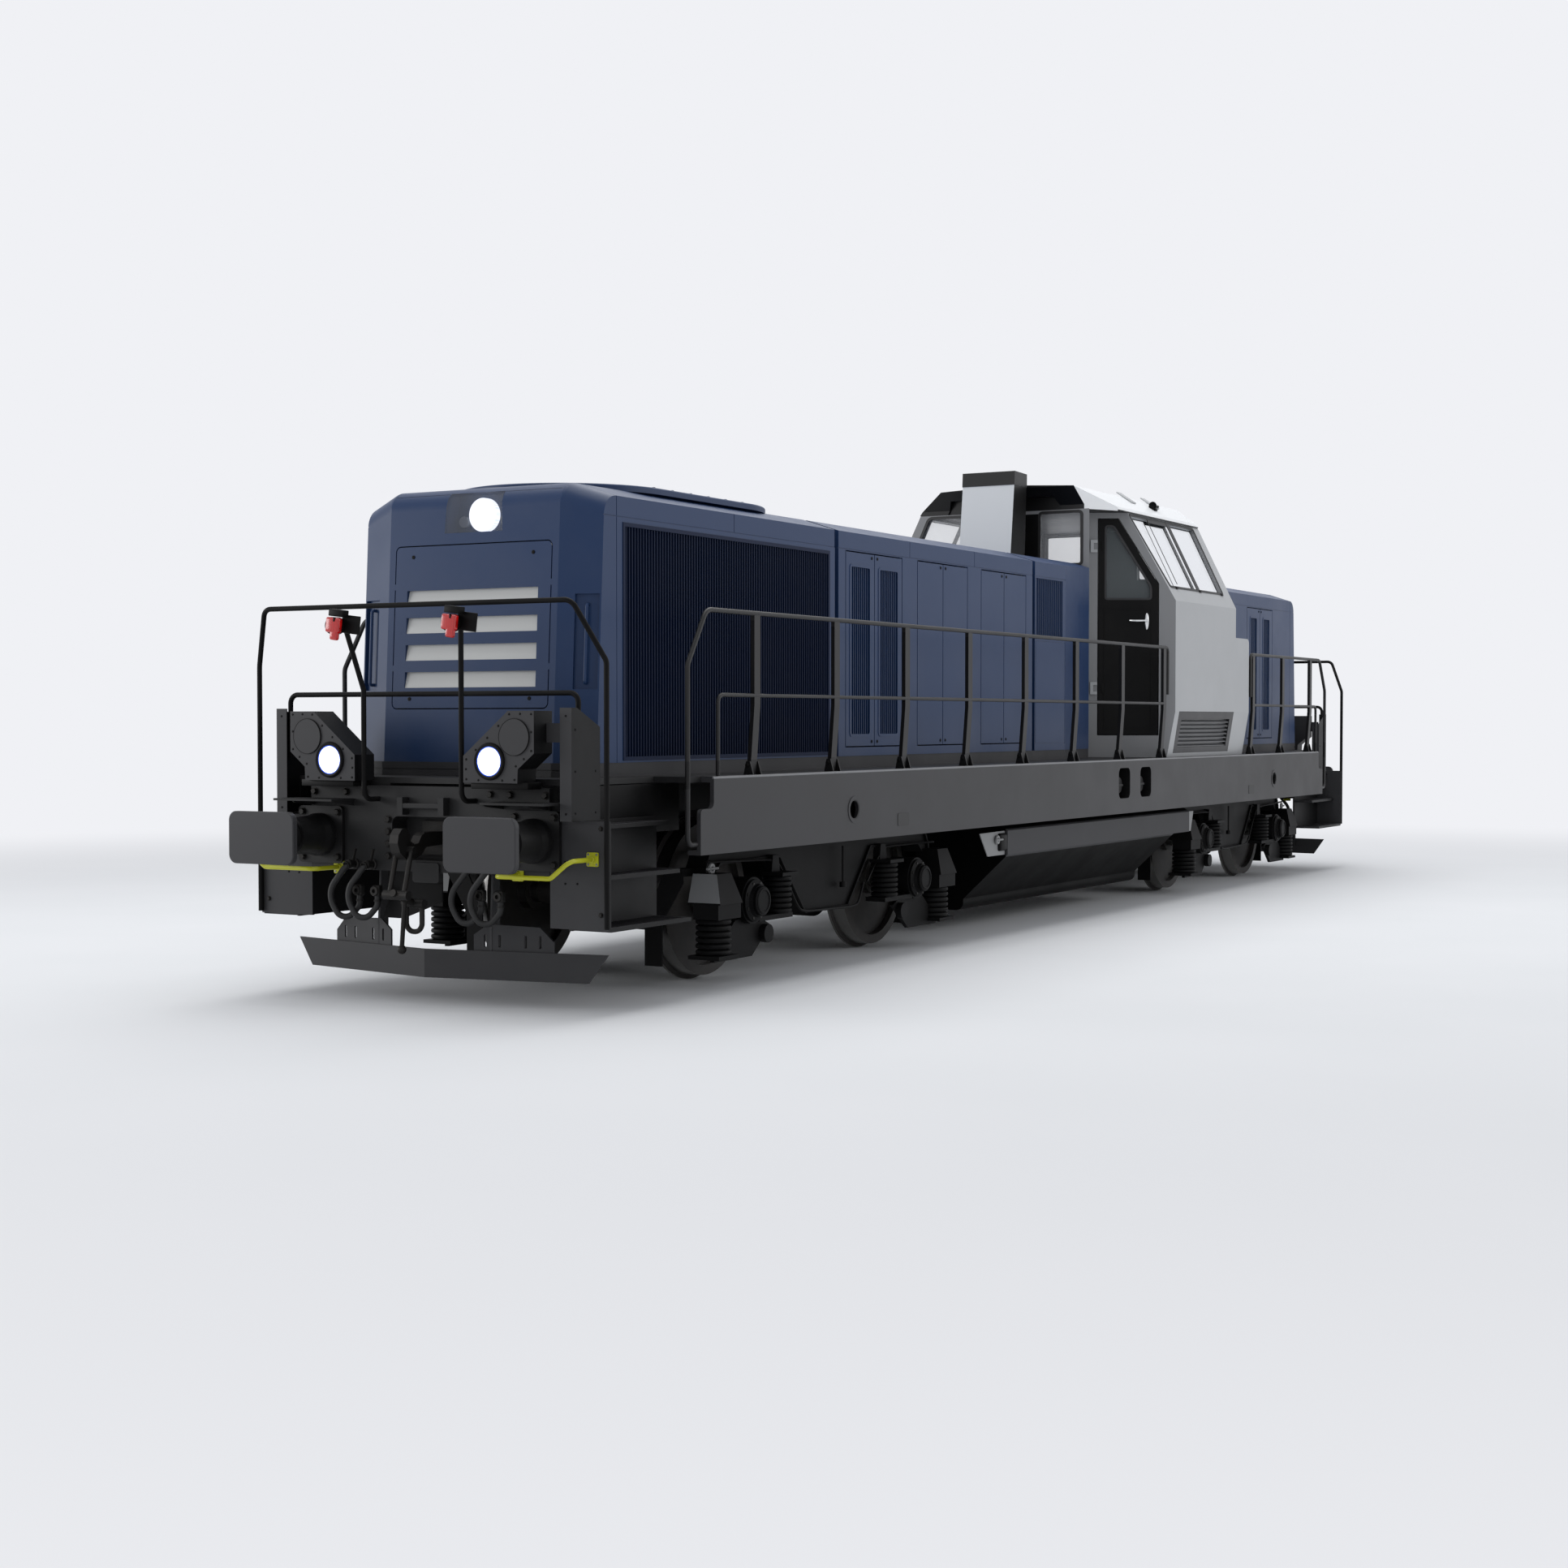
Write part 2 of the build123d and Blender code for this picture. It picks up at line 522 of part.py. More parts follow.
def snow_plough():
    """A shallow V blade with slotted plates raised behind it, hung from the beam skirts."""
    tip, mid = near(810), near(571)
    top, bottom, thick = 338, 153, 16
    half_top, half_bottom = 1270, 1135
    wall = upright([(0, mid), (half_top, tip), (half_top, tip + thick), (0, mid + thick)], (bottom, top))
    half = wall & along([(0, bottom), (half_bottom, bottom), (half_top, top), (0, top)], (mid - 100, tip + 100))
    slope = (tip - mid) / half_top
    behind = upright([(x, mid + thick + x * slope + d) for x, d in ((340, -1), (890, -1), (890, 15), (340, 15))],
                     (bottom + 90, 520))
    raised = behind & along([(340, 240), (890, 240), (890, 410), (800, 498), (440, 510), (340, 440)],
                            (mid - 100, tip + 100))
    for x in (420, 520, 700, 800):
        raised -= rounded(block((x - 9, x + 9), (mid - 50, tip + 100), (362, 444)), Axis.Y, 8)
    bracket = across([(mid + 100, bottom + 20), (mid + 100, 480), (mid + 120, BEAM_BOTTOM - SEAT_GAP),
                      (mid + 190, BEAM_BOTTOM - SEAT_GAP), (mid + 190, bottom + 90)], (452, 468))
    return fuse(mirrored([half, raised, bracket]))


def end_posts():
    """Corner plates with an upright channel over each, its head sloping to the back."""
    front, back = near(517), near(830)
    inner, outer, wall = END_DECK_HALF + 8, END_DECK_HALF + 96, 8
    foot, top = 1190, 1896
    web = across([(front, foot), (front, top), (front + 60, top), (back, top - 120), (back, foot)],
                 (outer - wall, outer))
    flanges = [block((inner, outer), (front, front + wall), (foot, top)),
               block((inner, outer), (back - wall, back), (foot, top - 120)),
               block((inner, outer), (front, back), (foot, foot + wall))]
    plate = block((BEAM_HALF + SEAT_GAP, STEP_OUT), (near(CORNER_PLATE), near(CORNER_PLATE) + 20), (513, foot))
    return mirrored([fuse([web, plate] + flanges)])


STEP_LEVELS = ((530, 1), (845, 0.71), (1160, 0.43))      # top of each tread and its share of the full width
STEP_OUT = 1421
STEP_PLATE = (END_DECK_HALF + 0.2, END_DECK_HALF + 20)   # the carrier plate across
TREAD_THICK = 26


def steps():
    """Ladder of open treads between the corner plate and the sill, on a carrier plate."""
    foot = near(CORNER_PLATE) + 20.2
    shapes = [block(STEP_PLATE, (foot, near(SILL_SET_BACK)), (500, 1185.8))]
    inner = STEP_PLATE[1] - 5
    for height, share in STEP_LEVELS:
        outer = inner + (STEP_OUT - inner) * share
        tread = block((inner, outer), (foot, near(SILL_SET_BACK) - 40), (height - TREAD_THICK, height))
        tread -= block((inner + 30, outer - 34), (foot + 34, near(SILL_SET_BACK) - 74), (height - 10, height + 1))
        shapes.append(tread)
    return mirrored([fuse(shapes)])


LAMP_FACE = 415
LAMP_LIT = (649, 1560)
LAMP_BLANK = (840, 1713)


def lamp_housing():
    """Two-lamp box with stepped outline, on a foot that stands on the buffer beam."""
    front, back = near(LAMP_FACE), near(LAMP_FACE + 195)
    outline = [(442, 1425), (862, 1425), (866, 1513), (989, 1612), (989, 1877), (790, 1877), (442, 1594)]
    box = along(outline, (front, back))
    rims = [rod((x, front - 8, z), (x, front, z), 226) for x, z in (LAMP_LIT, LAMP_BLANK)]
    rims[0] -= rod((LAMP_LIT[0], front - 9, LAMP_LIT[1]), (LAMP_LIT[0], front, LAMP_LIT[1]), 184)
    foot = block((500, 820), (near(BEAM_FRONT), back + 30), (BEAM_TOP + SEAT_GAP, 1430))
    tab = block((985, END_DECK_HALF + 8 - SEAT_GAP), (back - 60, back - 50), (1680, 1800))
    return mirrored([fuse([box, foot, tab] + rims)])


def lamp_glasses():
    front = near(LAMP_FACE)
    lens = revolve(Plane.YZ * make_face(Polyline((0, 0), (0, 90), (-10, 86), (-20, 60), (-25, 0), close=True)),
                   axis=Axis.Y)
    return mirrored([Pos(LAMP_LIT[0], front - SEAT_GAP, LAMP_LIT[1]) * lens])


def end_handrail():
    bar = 34
    pole = near(CORNER_PLATE) - bar / 2 - SEAT_GAP
    outer = tube([(1415, pole, 526), (1415, pole, 2183), (1245, near(456), 2559),
                  (-1245, near(456), 2559), (-1415, pole, 2183), (-1415, pole, 526)], 80, bar)
    x = END_DECK_HALF + 88 - bar / 2 - SEAT_GAP
    lower = tube([(x, near(628), 1560), (x, near(628), 1989), (-x, near(628), 1989), (-x, near(628), 1560)], 60, bar)
    poles = []
    for side in (-1, 1):
        poles.append(tube([(side * 397, near(BEAM_FRONT), 1303), (side * 397, near(455), 1303),
                           (side * 397, near(455), 2016), (side * MARKER[0], near(MARKER[1]) + 60, MARKER[2]),
                           (side * MARKER[0], near(MARKER[1]), MARKER[2])], [70, 60, 25], bar))
    return [outer, lower] + poles


MARKER = (470, 300, 2427)  # back of the tail lamps


def marker_lamps():
    x, back, z = MARKER
    lamp = rod((x, near(back) - 70, z), (x, near(back) - SEAT_GAP, z), 110)
    return mirrored([lamp])


def shunter_handles():
    y = near(350)
    return mirrored([tube([(731, near(BEAM_FRONT), 845), (731, y, 845), (1157, y, 845), (1300, y, 955),
                           (1300, near(CORNER_PLATE), 955)], 50, 30)])


SIDE_RAILS = [            # (side, end with the pole, end at the cab, first post from the pole's end)
    (1, 1720, CAB_NEAR + 631, 650), (1, LENGTH - 1665, CAB_FAR + 512, 384),
    (-1, 1720, CAB_NEAR - 512, 650), (-1, LENGTH - 1665, CAB_FAR - 631, 384)]
RAIL_X = 1440             # middle of the side handrails
RAIL_TOP = 2548
RAIL_MIDDLE = 1988
RAIL_KINK = 2180          # where the slanted end pole turns upright
RAIL_POLE_OUT = 235       # how far the end pole stands beyond the straight rail
POST_WIDTH = 80
POST_KNEE = 1925
POST_SPACING = 1150


def rail_post(y):
    """A cranked flat post between two foot gussets."""
    half = POST_WIDTH / 2
    post = along([(1387, DECK_TOP), (1417, DECK_TOP), (RAIL_X + 11, POST_KNEE), (RAIL_X + 11, RAIL_TOP - 6),
                  (RAIL_X - 19, RAIL_TOP - 6), (RAIL_X - 19, POST_KNEE)], (y - half, y + half))
    shapes = [post]
    for side in (-1, 1):
        edges = sorted((y + side * (half + 8), y + side * (half + 20)))
        shapes.append(along([(1375, DECK_TOP), (1452, DECK_TOP), (1425, DECK_TOP + 92), (1395, DECK_TOP + 92)], edges))
    shapes.append(rod((1406, y - half - 9, DECK_TOP + 66), (1406, y + half + 9, DECK_TOP + 66), 18))
    return shapes


def side_handrails():
    """Rails on cranked posts; the outer end runs down as a pole to the sill's end."""
    bar = 34
    shapes = []
    for side, first, last, lead in SIDE_RAILS:
        y0, y1 = near(first), near(last)
        way = 1 if last > first else -1
        out = y0 - way * RAIL_POLE_OUT
        foot = way * near(SILL_SET_BACK)
        top = tube([(RAIL_X, foot - way * SEAT_GAP, 1005), (RAIL_X, out, 1005), (RAIL_X, out, RAIL_KINK),
                    (RAIL_X, y0, RAIL_TOP), (RAIL_X, y1, RAIL_TOP), (RAIL_X, y1, RAIL_MIDDLE + 90)],
                   [50, 90, 110, 55], bar)
        low = y0 + way * 145
        middle = tube([(RAIL_X, low, DECK_TOP), (RAIL_X, low, RAIL_MIDDLE), (RAIL_X, y1 - way * 100, RAIL_MIDDLE)],
                      60, bar - 6)
        pieces = [top, middle]
        start, end = y0 + way * lead, y1 - way * 100
        count = max(1, round(abs(end - start) / POST_SPACING))
        for i in range(count + 1):
            pieces += rail_post(start + (end - start) * i / count)
        rail = fuse(pieces)
        shapes.append(rail if side > 0 else rail.mirror(Plane.YZ))
    return shapes


# ---------------------------------------------------------------- hoods
def hood_section(inset=0):
    half, flat = HOOD_HALF - inset, ROOF_FLAT_HALF - inset * 0.3
    side, top = HOOD_SIDE_TOP - inset * 0.6, HOOD_ROOF - inset
    base = HOOD_BASE if inset == 0 else HOOD_BASE - 10
    return [(half, base), (half, side), (flat, top), (-flat, top), (-half, side), (-half, base)]


def hood_plan(start, end, inset=0):
    """Plan of a hood whose near end is the bevelled end plate."""
    half, flat = HOOD_HALF - inset, ROOF_FLAT_HALF - inset * 0.3
    y = near(start) + inset
    return [(flat, y), (half, y + END_CHAMFER), (half, near(end) + 2000), (-half, near(end) + 2000),
            (-half, y + END_CHAMFER), (-flat, y)]


def rake(height):
    """How far the end plate's face has leaned back from END_LEVEL to a height."""
    return (height - END_LEVEL) * tan(radians(END_RAKE))


def hood_form(start, end, inset=0, closed=False):
    """The outer form of a hood with one raked, bevelled end plate and a rounded nose, or its hollow."""
    last = near(end) - inset if closed else near(end) + (1 if inset else 0)
    prism = along(hood_section(inset), (near(start) - 200, last))
    plan = [(x, y + rake(HOOD_BASE - 20)) for x, y in hood_plan(start, end, inset)]
    body = prism & upright(plan, (HOOD_BASE - 20, HOOD_ROOF + 20), lean=(0, tan(radians(END_RAKE))))
    if inset:
        return body
    tops = body.edges().filter_by(lambda e: e.center().Z > HOOD_SIDE_TOP - 20 and e.center().Y < near(start) + 400
                                  and abs(e.tangent_at(0.5).X) > 0.5)
    return fillet(tops.sort_by(Axis.Y)[:3], NOSE_RADIUS)


def skin_ring(place, foot, head=HOOD_ROOF + 20):
    """A thin slice of a hood's skin across the locomotive: the cutter for an upright joint."""
    slab = (near(place) - JOINT_WIDTH / 2, near(place) + JOINT_WIDTH / 2)
    skin = along(hood_section(), slab) - along(hood_section(JOINT_DEPTH), slab)
    return skin & block((-HOOD_HALF - 5, HOOD_HALF + 5), slab, (foot, head))


def band_joint(start, end):
    """Cutters for the joint under the band along both sides."""
    z = (BAND_FOOT - JOINT_WIDTH / 2, BAND_FOOT + JOINT_WIDTH / 2)
    return mirrored([block((HOOD_HALF - JOINT_DEPTH, HOOD_HALF + 5), (near(start), near(end)), z)])


def jointed(shell, start, end, joints):
    """A hood with its band joint and the upright joints given as (place, foot)."""
    for cutter in band_joint(start, end) + [skin_ring(place, foot) for place, foot in joints]:
        shell -= cutter
    return shell


LEAF_FOOT = HOOD_BASE + 77
LEAF_HEAD = BAND_FOOT - 19
BAY_MARGINS = (123, 155)              # from the engine hood's ends to the outermost leaves
BAY_POST = 295                        # between the leaves of two bays
BAY = (ENGINE_HOOD - sum(BAY_MARGINS) - 2 * BAY_POST) / 3
DOORS = [                             # (start, end from the near buffer faces)
    (ENGINE_START + BAY_MARGINS[0] + i * (BAY + BAY_POST), ENGINE_START + BAY_MARGINS[0] + i * (BAY + BAY_POST) + BAY)
    for i in range(3)]
SHORT_DOOR = (CAB_FAR + 1815, CAB_FAR + 2775)


def door_hole(door):
    """Cutters for one pair of leaves on both sides, with the bores for their pivot pins."""
    start, end = door
    y = (near(start) - PANEL_GAP, near(end) + PANEL_GAP)
    cutter = block((HOOD_HALF - 80, HOOD_HALF + 80), y, (LEAF_FOOT - PANEL_GAP, LEAF_HEAD + PANEL_GAP))
    x = HOOD_HALF - HINGE_INSET
    reach = PANEL_GAP + PIN_DEPTH + 1
    for hinge in (near(start) + HINGE_INSET, near(end) - HINGE_INSET):
        cutter += rod((x, hinge, LEAF_FOOT - reach), (x, hinge, LEAF_HEAD + reach), HINGE_PIN + 2 * PIN_GAP)
    return mirrored([cutter])


RADIATOR = (HOOD_END + 381, RADIATOR_END - 85, HOOD_BASE + 12, BAND_FOOT - 34)
FAN_PITCH = 1228
FAN_MIDDLE = RADIATOR_END - 1532
FANS = (FAN_MIDDLE - FAN_PITCH / 2, FAN_MIDDLE + FAN_PITCH / 2)
FAN_DIA = 1140
COWL = (772, 45, 14)      # half width, height and the rim's radius


def radiator_hood():
    shell = hood_form(HOOD_END, RADIATOR_END) - hood_form(HOOD_END, RADIATOR_END, WALL)
    start, end, foot, head = RADIATOR
    for side in (-1, 1):
        shell -= block((side * HOOD_HALF - 80, side * HOOD_HALF + 80), (near(start), near(end)), (foot, head))
    for fan in FANS:
        shell -= rod((0, near(fan), HOOD_ROOF - 100), (0, near(fan), HOOD_ROOF + 100), FAN_DIA)
    joints = [(HOOD_END + 309, HOOD_BASE - 1), ((start + end) / 2, BAND_FOOT), (RADIATOR_END - 4, BAND_FOOT)]
    return jointed(end_fittings(shell), HOOD_END + 120, RADIATOR_END + 1, joints)


HATCH = (642, 1900, 2990, 34)         # half width, foot, head and corner
HATCH_GAP = 8
LOUVRES = [                           # (foot, head) of each slot
    (2037, 2143), (2220, 2326), (2403, 2509), (2586, 2692)]
SLOT_HALF = 543
HEADLIGHT = (240, 226, 3070, 3338)    # half widths at the foot and the head, foot and head
HEADLIGHT_DEPTH = 150
GRAB = (2020, 2640, 0.4, 0.96, 25)    # foot, head, from and to along the bevel, depth of the recess
GRAB_DIA = 22


def raked_slab(half, foot, head, thick):
    """A slab of the end plate between its outlines, following the rake."""
    y = near(HOOD_END) + rake(foot)
    return upright([(-half, y), (half, y), (half, y + thick), (-half, y + thick)], (foot, head),
                   lean=(0, tan(radians(END_RAKE))))


def headlight_outline(y, grow=0):
    low, high, foot, head = HEADLIGHT
    return along([(-low - grow, foot - grow), (low + grow, foot - grow), (high + grow, head + grow),
                  (-high - grow, head + grow)], y)


def hatch_hole():
    half, foot, head, corner = HATCH
    gap = HATCH_GAP
    slab = raked_slab(half + gap, foot - gap, head + gap, WALL + 60)
    return rounded(slab.moved(Pos(0, -30, 0)), Axis.Y, corner + gap)


def bevel_point(along_it, height, out):
    """A point on the right bevel of the end plate, by share of its width, height and how far it stands out."""
    dx, dy = HOOD_HALF - ROOF_FLAT_HALF, END_CHAMFER
    length = (dx * dx + dy * dy) ** 0.5
    return (ROOF_FLAT_HALF + dx * along_it + out * dy / length,
            near(HOOD_END) + rake(height) + dy * along_it - out * dx / length, height)


def grab_recess():
    """A shallow tray let into the right bevel, as a cutter and the D handle that stands in it."""
    foot, head, first, last, depth = GRAB
    plan = [bevel_point(first, foot, 20), bevel_point(last, foot, 20), bevel_point(last, foot, -depth),
            bevel_point(first, foot, -depth)]
    tray = upright([(x, y) for x, y, z in plan], (foot, head), lean=(0, tan(radians(END_RAKE))))
    middle = (first + last) / 2
    handle = tube([bevel_point(middle, z, out) for z, out in (
        (foot + 40, -depth - 5), (foot + 40, 6), (head - 70, 6), (head - 70, -depth - 5))], 16, GRAB_DIA)
    return tray, handle


def end_fittings(shell):
    """The hatch opening, the headlight's box and the two recessed handles of a hood's end plate."""
    y = near(HOOD_END) + rake(HEADLIGHT[2])
    box = headlight_outline((y + 20, y + HEADLIGHT_DEPTH + 8), 8) & hood_form(HOOD_END, RADIATOR_END)
    shell = (shell + box) - headlight_outline((y - 60, y + HEADLIGHT_DEPTH))
    shell -= hatch_hole()
    tray, handle = grab_recess()
    for cutter, piece in zip(mirrored([tray]), mirrored([handle])):
        shell = shell - cutter + piece
    return shell


def headlight_glass():
    """A pane that follows the rounded nose, and the lamp drums behind it."""
    form = hood_form(HOOD_END, HOOD_END + 700)
    y = near(HOOD_END) + rake(HEADLIGHT[2])
    pane = form & headlight_outline((y - 60, y + HEADLIGHT_DEPTH - 10), -SEAT_GAP)
    pane -= form.moved(Pos(0, 12, -9))
    back = y + HEADLIGHT_DEPTH - SEAT_GAP
    middle = 3193
    drums = [rod((0, back - 46, middle), (0, back, middle), 226)]
    drums += [rod((x, back - 30, middle - 40), (x, back, middle - 40), 76) for x in (-172, 172)]
    return [pane] + drums


def end_hatches():
    """A flush hatch with four louvre slots, each closed by a sloping plate, held by tabs across its gap."""
    half, foot, head, corner = HATCH
    hatch = rounded(raked_slab(half, foot, head, WALL), Axis.Y, corner)
    for level in (2700, 2150):
        hatch += raked_slab(half + HATCH_GAP - SEAT_GAP, level, level + 40, WALL - 10) & block(
            (-half - 20, half + 20), (near(HOOD_END) - 50, near(HOOD_END) + 200), (level, level + 40))
    for low, high in LOUVRES:
        y = near(HOOD_END) + rake(low)
        hatch -= block((-SLOT_HALF, SLOT_HALF), (y - 60, y + 200), (low, high))
        hatch += across([(y + 4, low - 5), (y + 14, low - 5), (y + 44, high + 4), (y + 34, high + 4)],
                        (-SLOT_HALF - 6, SLOT_HALF + 6))
    return both_ends([hatch])


FIN = (34, 8, 26)         # pitch, thickness and depth of the upright slats


def slat_row(y, z, front):
    """Upright slats between two Y values, set back from the skin's face."""
    pitch, thick, depth = FIN
    count = int((y[1] - y[0]) / pitch)
    start = (y[0] + y[1]) / 2 - (count - 1) / 2 * pitch
    return [block((front - depth, front), (start + i * pitch - thick / 2, start + i * pitch + thick / 2), z)
            for i in range(count)]


def hood_grilles():
    """Upright slats in a raised frame over the radiator openings."""
    start, end, foot, head = RADIATOR
    y0, y1 = near(start) + SEAT_GAP, near(end) - SEAT_GAP
    edge = 26
    frame = block((HOOD_HALF - 34, HOOD_HALF + 5), (y0, y1), (foot + SEAT_GAP, head - SEAT_GAP))
    frame -= block((HOOD_HALF - 35, HOOD_HALF + 6), (y0 + edge, y1 - edge), (foot + edge, head - edge))
    slats = slat_row((y0 + edge, y1 - edge), (foot + edge - 2, head - edge + 2), HOOD_HALF - 2)
    return mirrored([fuse([frame] + slats)])


def engine_hood():
    shell = along(hood_section(), (near(ENGINE_START), near(ENGINE_END)))
    shell -= along(hood_section(WALL), (near(ENGINE_START) - 1, near(ENGINE_END) + 1))
    for door in DOORS:
        for hole in door_hole(door):
            shell -= hole
    middles = [((a[1] + b[0]) / 2, BAND_FOOT) for a, b in zip(DOORS, DOORS[1:])]
    return jointed(shell, ENGINE_START - 1, ENGINE_END + 1, middles)


TOWER_GRILLE = (TOWER_START + 26, TOWER_WAIST - 70, BAND_FOOT - 575, BAND_FOOT - 17)


def tower_hood():
    """The hood under the exhaust tower, drawn in towards the cab, with a grille high on each side."""
    start, waist, end = near(TOWER_START), near(TOWER_WAIST), near(CAB_NEAR)

    def body(inset):
        half, toe = HOOD_HALF - inset, TOWER_HOOD_TOE - inset
        first, last = (start, end) if inset == 0 else (start - 1, end + 1)
        plan = [(half, first), (half, waist), (toe, last), (-toe, last), (-half, waist), (-half, first)]
        return along(hood_section(inset), (first, last)) & upright(plan, (HOOD_BASE - 20, HOOD_ROOF + 20))

    shell = body(0) - body(WALL)
    flue = (near(CAB_NEAR + FLUE_SET[0]), near(CAB_NEAR + FLUE_SET[1]))
    shell -= block((-FLUE_HALF, FLUE_HALF), flue, (HOOD_ROOF - 100, HOOD_ROOF + 100))
    first, last, foot, head = TOWER_GRILLE
    y, x = (near(first), near(last)), (HOOD_HALF - JOINT_DEPTH, HOOD_HALF + 5)
    for opening in mirrored([block((HOOD_HALF - 80, HOOD_HALF + 80), y, (foot, head))]):
        shell -= opening
    panel = block(x, (y[0] - 10, near(TOWER_WAIST) - 3), (LEAF_FOOT - 14, foot - 20))
    panel -= block((x[0] - 1, x[1] + 1), (y[0] - 4, near(TOWER_WAIST) - 9), (LEAF_FOOT - 8, foot - 26))
    for cutter in mirrored([panel]):
        shell -= cutter
    shell = fuse([shell] + mirrored(slat_row(y, (foot - 2, head + 2), HOOD_HALF - 4)))
    return jointed(shell, TOWER_START - 1, TOWER_WAIST, [])


def short_hood():
    """The far hood: the same end plate turned round, with one pair of doors each side."""
    length = LENGTH - CAB_FAR
    shell = hood_form(HOOD_END, length, closed=False) - hood_form(HOOD_END, length, WALL, closed=True)
    shell = jointed(end_fittings(shell), HOOD_END + 120, length + 1, [(HOOD_END + 309, HOOD_BASE - 1)])
    shell = Rot(0, 0, 180) * shell
    for hole in door_hole(SHORT_DOOR):
        shell -= hole
    return shell


LEAF_ROWS = [             # (name, door, width of its grille)
    ("grille", DOORS[0], 320), ("engine_a", DOORS[1], 0), ("engine_b", DOORS[2], 0), ("short", SHORT_DOOR, 230)]
GRILLE_MARGINS = (92, 110)            # of a leaf's grille from its foot and its head


def hood_leaf(door, part, width):
    """One leaf of the right side, with the pivot pins it turns on at its outer edge."""
    start, end = door
    middle = (near(start) + near(end)) / 2
    y = (near(start), middle - PANEL_GAP / 2) if part == "near" else (middle + PANEL_GAP / 2, near(end))
    x = (HOOD_HALF - LEAF_THICK, HOOD_HALF)
    leaf = block(x, y, (LEAF_FOOT, LEAF_HEAD))
    if width:
        centre, z = (y[0] + y[1]) / 2, (LEAF_FOOT + GRILLE_MARGINS[0], LEAF_HEAD - GRILLE_MARGINS[1])
        opening = (centre - width / 2, centre + width / 2)
        leaf -= block((x[0] - 1, x[1] + 1), opening, z)
        leaf = fuse([leaf] + slat_row(opening, (z[0] - 2, z[1] + 2), HOOD_HALF - 5))
    hinge = y[0] + HINGE_INSET if part == "near" else y[1] - HINGE_INSET
    pivot = HOOD_HALF - HINGE_INSET
    reach = PANEL_GAP + PIN_DEPTH
    leaf += rod((pivot, hinge, LEAF_FOOT - reach), (pivot, hinge, LEAF_FOOT + 1), HINGE_PIN)
    leaf += rod((pivot, hinge, LEAF_HEAD - 1), (pivot, hinge, LEAF_HEAD + reach), HINGE_PIN)
    return leaf


def leaves():
    """Hood door leaves, two to an opening on each side, by name."""
    result = {}
    for name, door, width in LEAF_ROWS:
        for part in ("near", "far"):
            leaf = hood_leaf(door, part, width)
            result[f"leaf_{name}_{part}_right"] = leaf
            result[f"leaf_{name}_{part}_left"] = leaf.mirror(Plane.YZ)
    return result


# ---------------------------------------------------------------- on the roof
TOWER_HALF = 277
TOWER_CAP_FOOT = HOOD_ROOF + 754
TOWER_TOP = TOWER_CAP_FOOT + 136
TOWER_SET = (-627, -275)  # front and back of its foot from the cab's front
TOWER_BACK_LEAN = 40      # how far its back leans out to the cap
TOWER_FRONT_LEAN = 0.124
FLUE_HALF = 225
FLUE_SET = (-485, -295)


def exhaust_tower():
    """An upright duct on the hood roof whose front leans back, with an overlapping cap."""
    front, back = (near(CAB_NEAR + place) for place in TOWER_SET)
    head = front + (TOWER_CAP_FOOT - HOOD_ROOF) * TOWER_FRONT_LEAN
    rear = back + TOWER_BACK_LEAN
    body = across([(front, HOOD_ROOF), (head, TOWER_CAP_FOOT), (rear, TOWER_CAP_FOOT), (back, HOOD_ROOF)],
                  (-TOWER_HALF, TOWER_HALF))
    cap = across([(head - 5, TOWER_CAP_FOOT), (head + 5, TOWER_TOP), (rear + 6, TOWER_TOP - 8),
                  (rear + 4, TOWER_CAP_FOOT)], (-TOWER_HALF - 4, TOWER_HALF + 4))
    flue = (near(CAB_NEAR + FLUE_SET[0]), near(CAB_NEAR + FLUE_SET[1]))
    return fuse([body, cap]) - block((-FLUE_HALF, FLUE_HALF), flue, (HOOD_ROOF - 1, TOWER_TOP + 20))


def stadium(half, z, height):
    """A rounded-end prism round both fans."""
    first, last = near(FANS[0]), near(FANS[1])
    face = Pos(0, (first + last) / 2, z) * Rot(0, 0, 90) * SlotCenterToCenter(last - first, 2 * half)
    return extrude(face, amount=height)


FAN_SHAFT = 60
FAN_HUB = (-130, -38)     # the hub's foot and top from the roof


def fan_cowl():
    """A low cowl round both fans, with guard bars that carry the fan shafts."""
    half, height, rim = COWL
    cowl = stadium(half, HOOD_ROOF, height)
    cowl = fillet(cowl.edges().group_by(Axis.Z)[-1], rim)
    for fan in FANS:
        y = near(fan)
        cowl -= rod((0, y, HOOD_ROOF - 1), (0, y, HOOD_ROOF + height + 1), FAN_DIA)
    middle = near(FAN_MIDDLE)
    cowl -= stadium(half + 5, HOOD_ROOF, height + 5) & block((-half - 9, half + 9), (middle - 3, middle + 3),
                                                            (HOOD_ROOF + height - 3, HOOD_ROOF + height + 9))
    guards = []
    for fan in FANS:
        y = near(fan)
        for angle in (0, 45, 90, 135):
            guards.append(Pos(0, y, HOOD_ROOF + height - 30) * Rot(0, 0, angle) * Box(FAN_DIA + 10, 16, 12))
        guards.append(rod((0, y, HOOD_ROOF + FAN_HUB[0] + 10), (0, y, HOOD_ROOF + height - 24), FAN_SHAFT))
    return fuse([cowl] + guards)


def roof_fan(fan):
    """A fan of eight pitched blades on a hub that turns about the fixed shaft."""
    centre = near(fan)
    foot, top = HOOD_ROOF + FAN_HUB[0], HOOD_ROOF + FAN_HUB[1]
    hub = rod((0, centre, foot), (0, centre, top), 320)
    blades = []
    for i in range(8):
        blade = Rot(28, 0, 0) * Box(400, 130, 10)
        blades.append(Pos(0, centre, (foot + top) / 2) * Rot(0, 0, 45 * i) * Pos(340, 0, 0) * blade)
    fan = fuse([hub] + blades)
    return fan - rod((0, centre, foot + 9), (0, centre, top + 1), FAN_SHAFT + 2 * BEARING_GAP)


